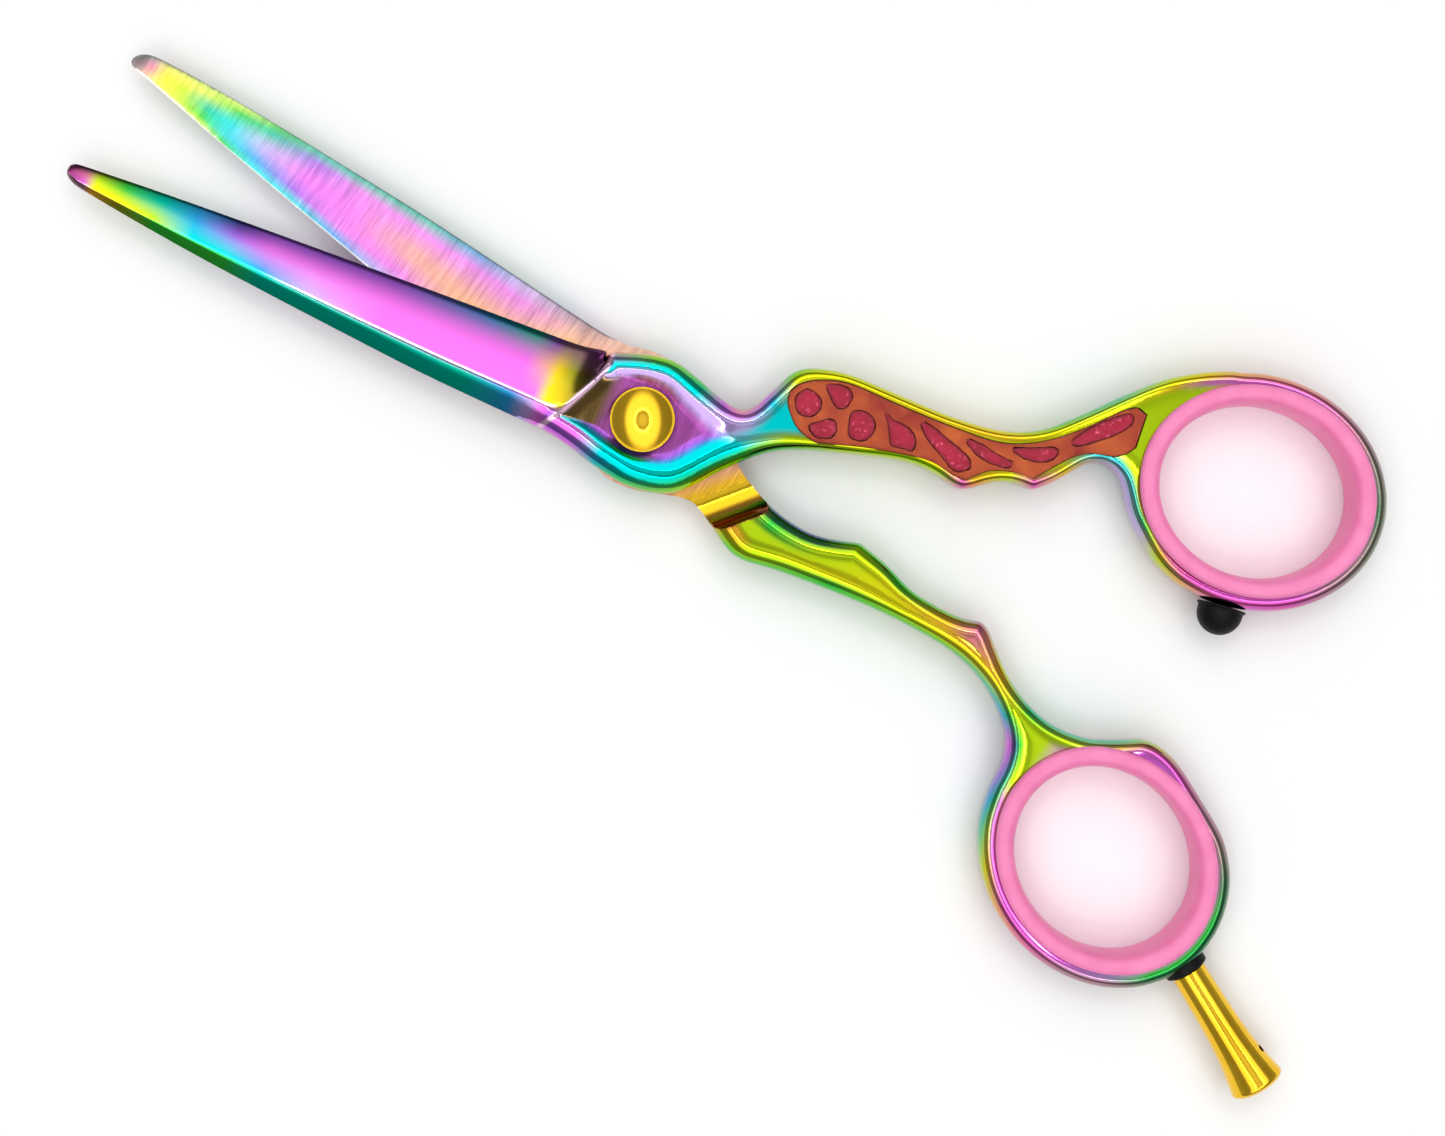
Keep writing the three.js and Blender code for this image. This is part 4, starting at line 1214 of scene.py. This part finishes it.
def ring_liner(half):
    centre, tilt, _ = RINGS[half]
    mirrored = [(radius, -height) for radius, height in LINER_PROFILE[:0:-1]]
    points, faces = lathe(LINER_PROFILE + mirrored, 160, RING_RATIO)
    made = plain_object(f"{half}_liner", placed(points, centre, tilt), faces, half, 50)
    return finished(made, SILICONE, "pink_silicone", half, f"{half}_ring_liner")


def screw():
    seat, rim, top, radius = 3.1, 3.62, 4.5, 3.0     # heights of the head, and its radius
    dome = [(r, top - (top - rim) * (r / radius) ** 2) for r in np.linspace(radius, 0, 20)]
    shank = [(0.0, -2.8), (1.7, -2.8), (1.9, -2.6), (1.9, seat)]
    head = [(2.85, seat), (2.97, seat + 0.08), (radius, seat + 0.2)]
    points, faces = lathe(shank + head + dome)
    made = plain_object("screw", points, faces, "pivot")
    return finished(made, GOLD, "gold_plate", "lower", "pivot_screw")


def head_ring():
    corners = [(1.95, 2.8), (3.25, 2.8, 0.08), (3.25, 3.05, 0.1), (1.95, 3.05)]
    points, faces = lathe(rounded_profile(corners))
    made = plain_object("washer_under_head", points, faces, "pivot")
    return finished(made, GOLD, "gold_plate", "lower", "head_washer")


PIN_HOLE = (0.4, 1.6)      # radius, and length of the cutter, of which about half stands outside


def drilled(made, holes):
    """The object with a pin hole cut at each centre and direction, as a plain mesh."""
    radius, length = (size * MM for size in PIN_HOLE)
    for centre, direction in holes:
        bpy.ops.mesh.primitive_cylinder_add(vertices=32, radius=radius, depth=length)
        cutter = bpy.context.active_object
        cutter.matrix_world = Vector(direction).to_track_quat("Z", "Y").to_matrix().to_4x4()
        cutter.location = centre
        cut = made.modifiers.new("hole", "BOOLEAN")
        cut.operation, cut.object, cut.solver = "DIFFERENCE", cutter, "EXACT"
        bpy.context.view_layer.update()
        mesh = bpy.data.meshes.new_from_object(made.evaluated_get(bpy.context.evaluated_depsgraph_get()))
        made.modifiers.clear()
        made.data = mesh
        bpy.data.objects.remove(cutter)
    return made


def on_seat(points, half):
    """Places a piece built along z on its ring's seat."""
    return placed(points, *SEATS[half], leaning=True)


# The finger rest as radius and height over its foot: the stud's socket and the foot, the side, and
# the end with its shallow dimple.
REST_FOOT = 1.25           # height of the foot over the ring's seat
REST_SOCKET = [(0, 4.4), (1.25, 4.4), (1.25, 0), (1.62, 0), (1.75, 0.13)]
REST_SIDE = [(1.76, 0.3), (1.8, 2.5), (1.86, 5), (1.95, 7.2), (2.12, 9.2), (2.42, 11.2), (2.72, 12.7)]
REST_END = [
    (2.8, 13.0), (2.82, 13.15), (2.8, 13.32), (2.68, 13.48), (2.3, 13.72), (1.8, 13.86), (1.4, 13.9),
    (1.2, 13.88), (1.08, 13.76), (0.97, 13.45), (0.9, 13.4), (0, 13.4),
]
PIN_HOLE_HEIGHT = 10.4     # the turning pin's hole, over the foot
PIN_HOLE_SIDE = 20         # degrees round the rest


def finger_rest():
    profile = REST_SOCKET + list(spline(REST_SIDE, 0.25, closed=False)) + REST_END
    points, faces = lathe([(radius, REST_FOOT + height) for radius, height in profile], 144)
    made = plain_object("rest_post", on_seat(points, "lower"), faces, "lower", 32)
    side = math.radians(PIN_HOLE_SIDE)
    ends = [(r * math.sin(side), -r * math.cos(side), REST_FOOT + PIN_HOLE_HEIGHT) for r in (2.4, 3.4)]
    inner, outer = (Vector(p) for p in to_row(on_seat(ends, "lower"), "lower"))
    made = drilled(made, [(inner, outer - inner)])
    return finished(made, GOLD, "gold_plate", "rest", "finger_rest")


def rest_ring():
    corners = [(1.25, 0.05), (2.25, 0.05, 0.2), (2.25, 1.2, 0.25), (1.25, 1.2)]
    points, faces = lathe(rounded_profile(corners), 72)
    made = plain_object("rest_gasket", on_seat(points, "lower"), faces, "lower")
    return finished(made, RUBBER, "black_rubber", "rest_washer", "finger_rest_washer")


def stop_bumper():
    radius, height, lip = 2.3, 3.0, 2.5
    dome = [(radius * math.cos(a), height - radius + radius * math.sin(a))
            for a in np.linspace(0, math.pi / 2, 16)]
    dome[-1] = (0.0, height)
    stem = [(0, -1.4), (0.9, -1.4), (1, -1.3), (1, 0.05)]
    brim = [(lip - 0.05, 0.05), (lip, 0.12), (lip, 0.22), (lip - 0.08, 0.3), (radius + 0.03, 0.34)]
    points, faces = lathe(stem + brim + dome, 72)
    made = plain_object("stop", on_seat(points, "upper"), faces, "upper")
    return finished(made, RUBBER, "black_rubber", "upper", "bumper")


def nut():
    corners = [(0, -3.5), (3.2, -3.5, 0.28), (3.2, -2.05, 0.1), (1.95, -2.05), (1.95, -2.9), (0, -2.9)]
    points, faces = lathe(rounded_profile(corners))
    made = plain_object("adjusting_nut", points, faces, "pivot", 35)
    holes = [(to_row([(side * 2.45, 0, -MATING_HEIGHT)], "pivot")[0], (0, 0, 1)) for side in (-1, 1)]
    return finished(drilled(made, holes), GOLD, "gold_plate", "nut", "tension_nut")


# ---------------------------------------------------------------- inlay


def slab(loop, low, high, rounding, dome):
    """A flat piece with a vertical side, a rounded top edge and a slightly domed top."""
    net = Net([loop])
    for share in (0.15, 0.4, 0.75, 1.0, 1.6, 2.4):
        step = max(rounding, 0.15) * share
        row = loop + inwards(loop) * step
        row = row[inside(loop, row) & (nearest_on(loop, row)[0] > step - 0.02)]
        net.clear_points(row, 0.06)
    spread = loop.max(0) - loop.min(0)
    grid = np.array([(x, y) for x in np.arange(0, spread[0], 0.4) for y in np.arange(0, spread[1], 0.4)])
    grid = grid + loop.min(0)
    grid = grid[inside(loop, grid)]
    net.clear_points(grid[nearest_on(loop, grid)[0] > 0.2], 0.25)
    points, faces, loops, _ = net.triangles()
    distance = nearest_on(loop, points)[0]
    drop = rounding * (1 - np.sqrt(1 - (1 - np.clip(distance / rounding, 0, 1)) ** 2))
    bulge = dome * (1 - np.exp(-distance / 1.2))
    top = np.c_[points, high - drop - dome + bulge]
    bottom = np.c_[points, np.full(len(points), low)]
    all_faces = [tuple(face) for face in faces]
    all_faces += [tuple(face[::-1] + len(points)) for face in faces]
    ring = loops[0]
    for i in range(len(ring)):
        j = (i + 1) % len(ring)
        all_faces.append((ring[i], ring[i] + len(points), ring[j] + len(points), ring[j]))
    return np.vstack([top, bottom]), all_faces, np.tile(distance, 2)


# Each layer's lowest and highest height, and the height at which the CAD outline is read.
RESIN_LAYER = (2.2, 2.68, 2.4)
GLITTER_LAYER = (1.86, 2.15, 2.0)
GLITTER_FIELDS = 9
GLITTER_GROWTH = 0.22      # how far a glitter field reaches past its CAD outline
GLITTER_RIM = 0.55         # width of a glitter field's dark rim


def layer_outline(node, height, corners=()):
    return spline(corners_of(section(node, "upper", height)[0]), 0.3, sharp=corners)


def resin_cover():
    low, high, height = RESIN_LAYER
    loop = layer_outline("inlay_resin", height, POCKET_CORNERS)
    points, faces, _ = slab(loop, low, high, rounding=0.12, dome=0.1)
    made = plain_object("inlay_clear", points, faces, "upper")
    return finished(made, RESIN, "clear_resin", "upper", "inlay_resin")


def glitter_field(number):
    low, high, height = GLITTER_LAYER
    node = f"inlay_field_{number}"
    loop = layer_outline(node, height)
    loop = loop - inwards(loop) * GLITTER_GROWTH
    points, faces, distance = slab(loop, low, high, rounding=0.05, dome=0.0)
    made = plain_object(f"glitter_{number}", points, faces, "upper")
    rim = made.data.attributes.new("from_rim", "FLOAT", "POINT")
    rim.data.foreach_set("value", smoothstep(distance / GLITTER_RIM))
    return finished(made, GLITTER, "inlay_glitter", "upper", node)


# ---------------------------------------------------------------- building everything

RAINBOW, GOLD, STEEL, SILICONE = rainbow_steel(), gold(), steel(), pink_silicone()
RUBBER, NYLON, ORANGE = black_rubber(), nylon(), inlay_orange()
GLITTER, RESIN = inlay_glitter(), clear_resin()

for half in ("upper", "lower"):
    finished(forging(half), RAINBOW, "rainbow_steel", half, f"{half}_half")
    ring_liner(half)
for build in (screw, head_ring, finger_rest, rest_ring, stop_bumper, nut):
    build()
resin_cover()
for number in range(1, GLITTER_FIELDS + 1):
    glitter_field(number)

for node, material in (("inlay_bed", ORANGE), ("pivot_sleeve", NYLON), ("blade_washer", NYLON),
                       ("spring_washer", STEEL), ("finger_rest_stud", STEEL)):
    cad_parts[node].data.materials.clear()
    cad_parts[node].data.materials.append(material)

# ---------------------------------------------------------------- floor, light and camera

PICTURE_TURN = 29.29       # degrees from the row's x axis to the picture's rightward direction
CAMERA_SPOT = (14.2, -9.0)              # what the camera looks straight down on, in millimetres
CAMERA_HEIGHT = 262.0                   # over the mating plane
LENS = 64.8                             # focal length for a sensor as wide as the next value
SENSOR_WIDTH = 36
FLOOR_SIZE = 1.6                        # metres


def floor():
    bpy.ops.mesh.primitive_plane_add(size=FLOOR_SIZE, location=(0, 0, 0))
    plane = bpy.context.active_object
    plane.name = "floor"
    nodes = Finish("floor", Roughness=0.9)
    cloud = nodes.noise(nodes.object_place(), 3.0)
    colour = nodes.mix(cloud, srgb(244, 244, 244), srgb(247, 247, 247))
    plane.data.materials.append(nodes.drive(Base_Color=colour))


# The tent's brightness at distances from straight overhead.
TENT = [
    (0.0, 0.95), (0.18, 0.95), (0.24, 0.55), (0.36, 0.55), (0.372, 12.0), (0.388, 12.0), (0.4, 1.7),
    (0.7, 1.7), (0.82, 0.35), (1.05, 0.3), (1.25, 0.45),
]
TENT_REACH = 1.25
TENT_SQUEEZE = (TENT_REACH, 0.9)        # along the picture's width and height


def light_tent():
    """A white tent, as brightness against the distance from straight overhead, with a thin bright
    ring in it. It is narrower from the picture's left to its right than from top to bottom."""
    world = bpy.data.worlds.new("tent")
    bpy.context.scene.world = world
    world.use_nodes = True
    nodes = Nodes(world.node_tree)
    direction = nodes.add("ShaderNodeTexCoord").outputs["Generated"]
    turn = {"Vector": direction, "Axis": (0, 0, 1), "Angle": math.radians(-PICTURE_TURN)}
    turned = nodes.add("ShaderNodeVectorRotate", turn).outputs[0]
    flat = nodes.stretched(turned, *TENT_SQUEEZE, 0.0)
    reach = nodes.add("ShaderNodeVectorMath", {0: flat}, operation="LENGTH").outputs["Value"]
    brightest = max(value for _, value in TENT)
    stops = [(place / TENT_REACH, (value / brightest,) * 3 + (1.0,)) for place, value in TENT]
    ring = nodes.ramp(nodes.math("DIVIDE", reach, TENT_REACH), stops)
    strength = nodes.math("MULTIPLY", ring, brightest)
    background = nodes.tree.nodes["Background"]
    nodes.tree.links.new(strength, background.inputs["Strength"])
    background.inputs["Color"].default_value = (1, 1, 1, 1)


def camera():
    lens = bpy.data.cameras.new("camera")
    lens.lens = LENS
    lens.sensor_width = SENSOR_WIDTH
    lens.clip_start = 0.01
    made = bpy.data.objects.new("camera", lens)
    made.location = (CAMERA_SPOT[0] * MM, CAMERA_SPOT[1] * MM, (MATING_HEIGHT + CAMERA_HEIGHT) * MM)
    made.rotation_euler = (0, 0, math.radians(PICTURE_TURN))
    bpy.context.scene.collection.objects.link(made)
    bpy.context.scene.camera = made


floor()
light_tent()
camera()
bpy.context.scene.view_settings.view_transform = "Standard"
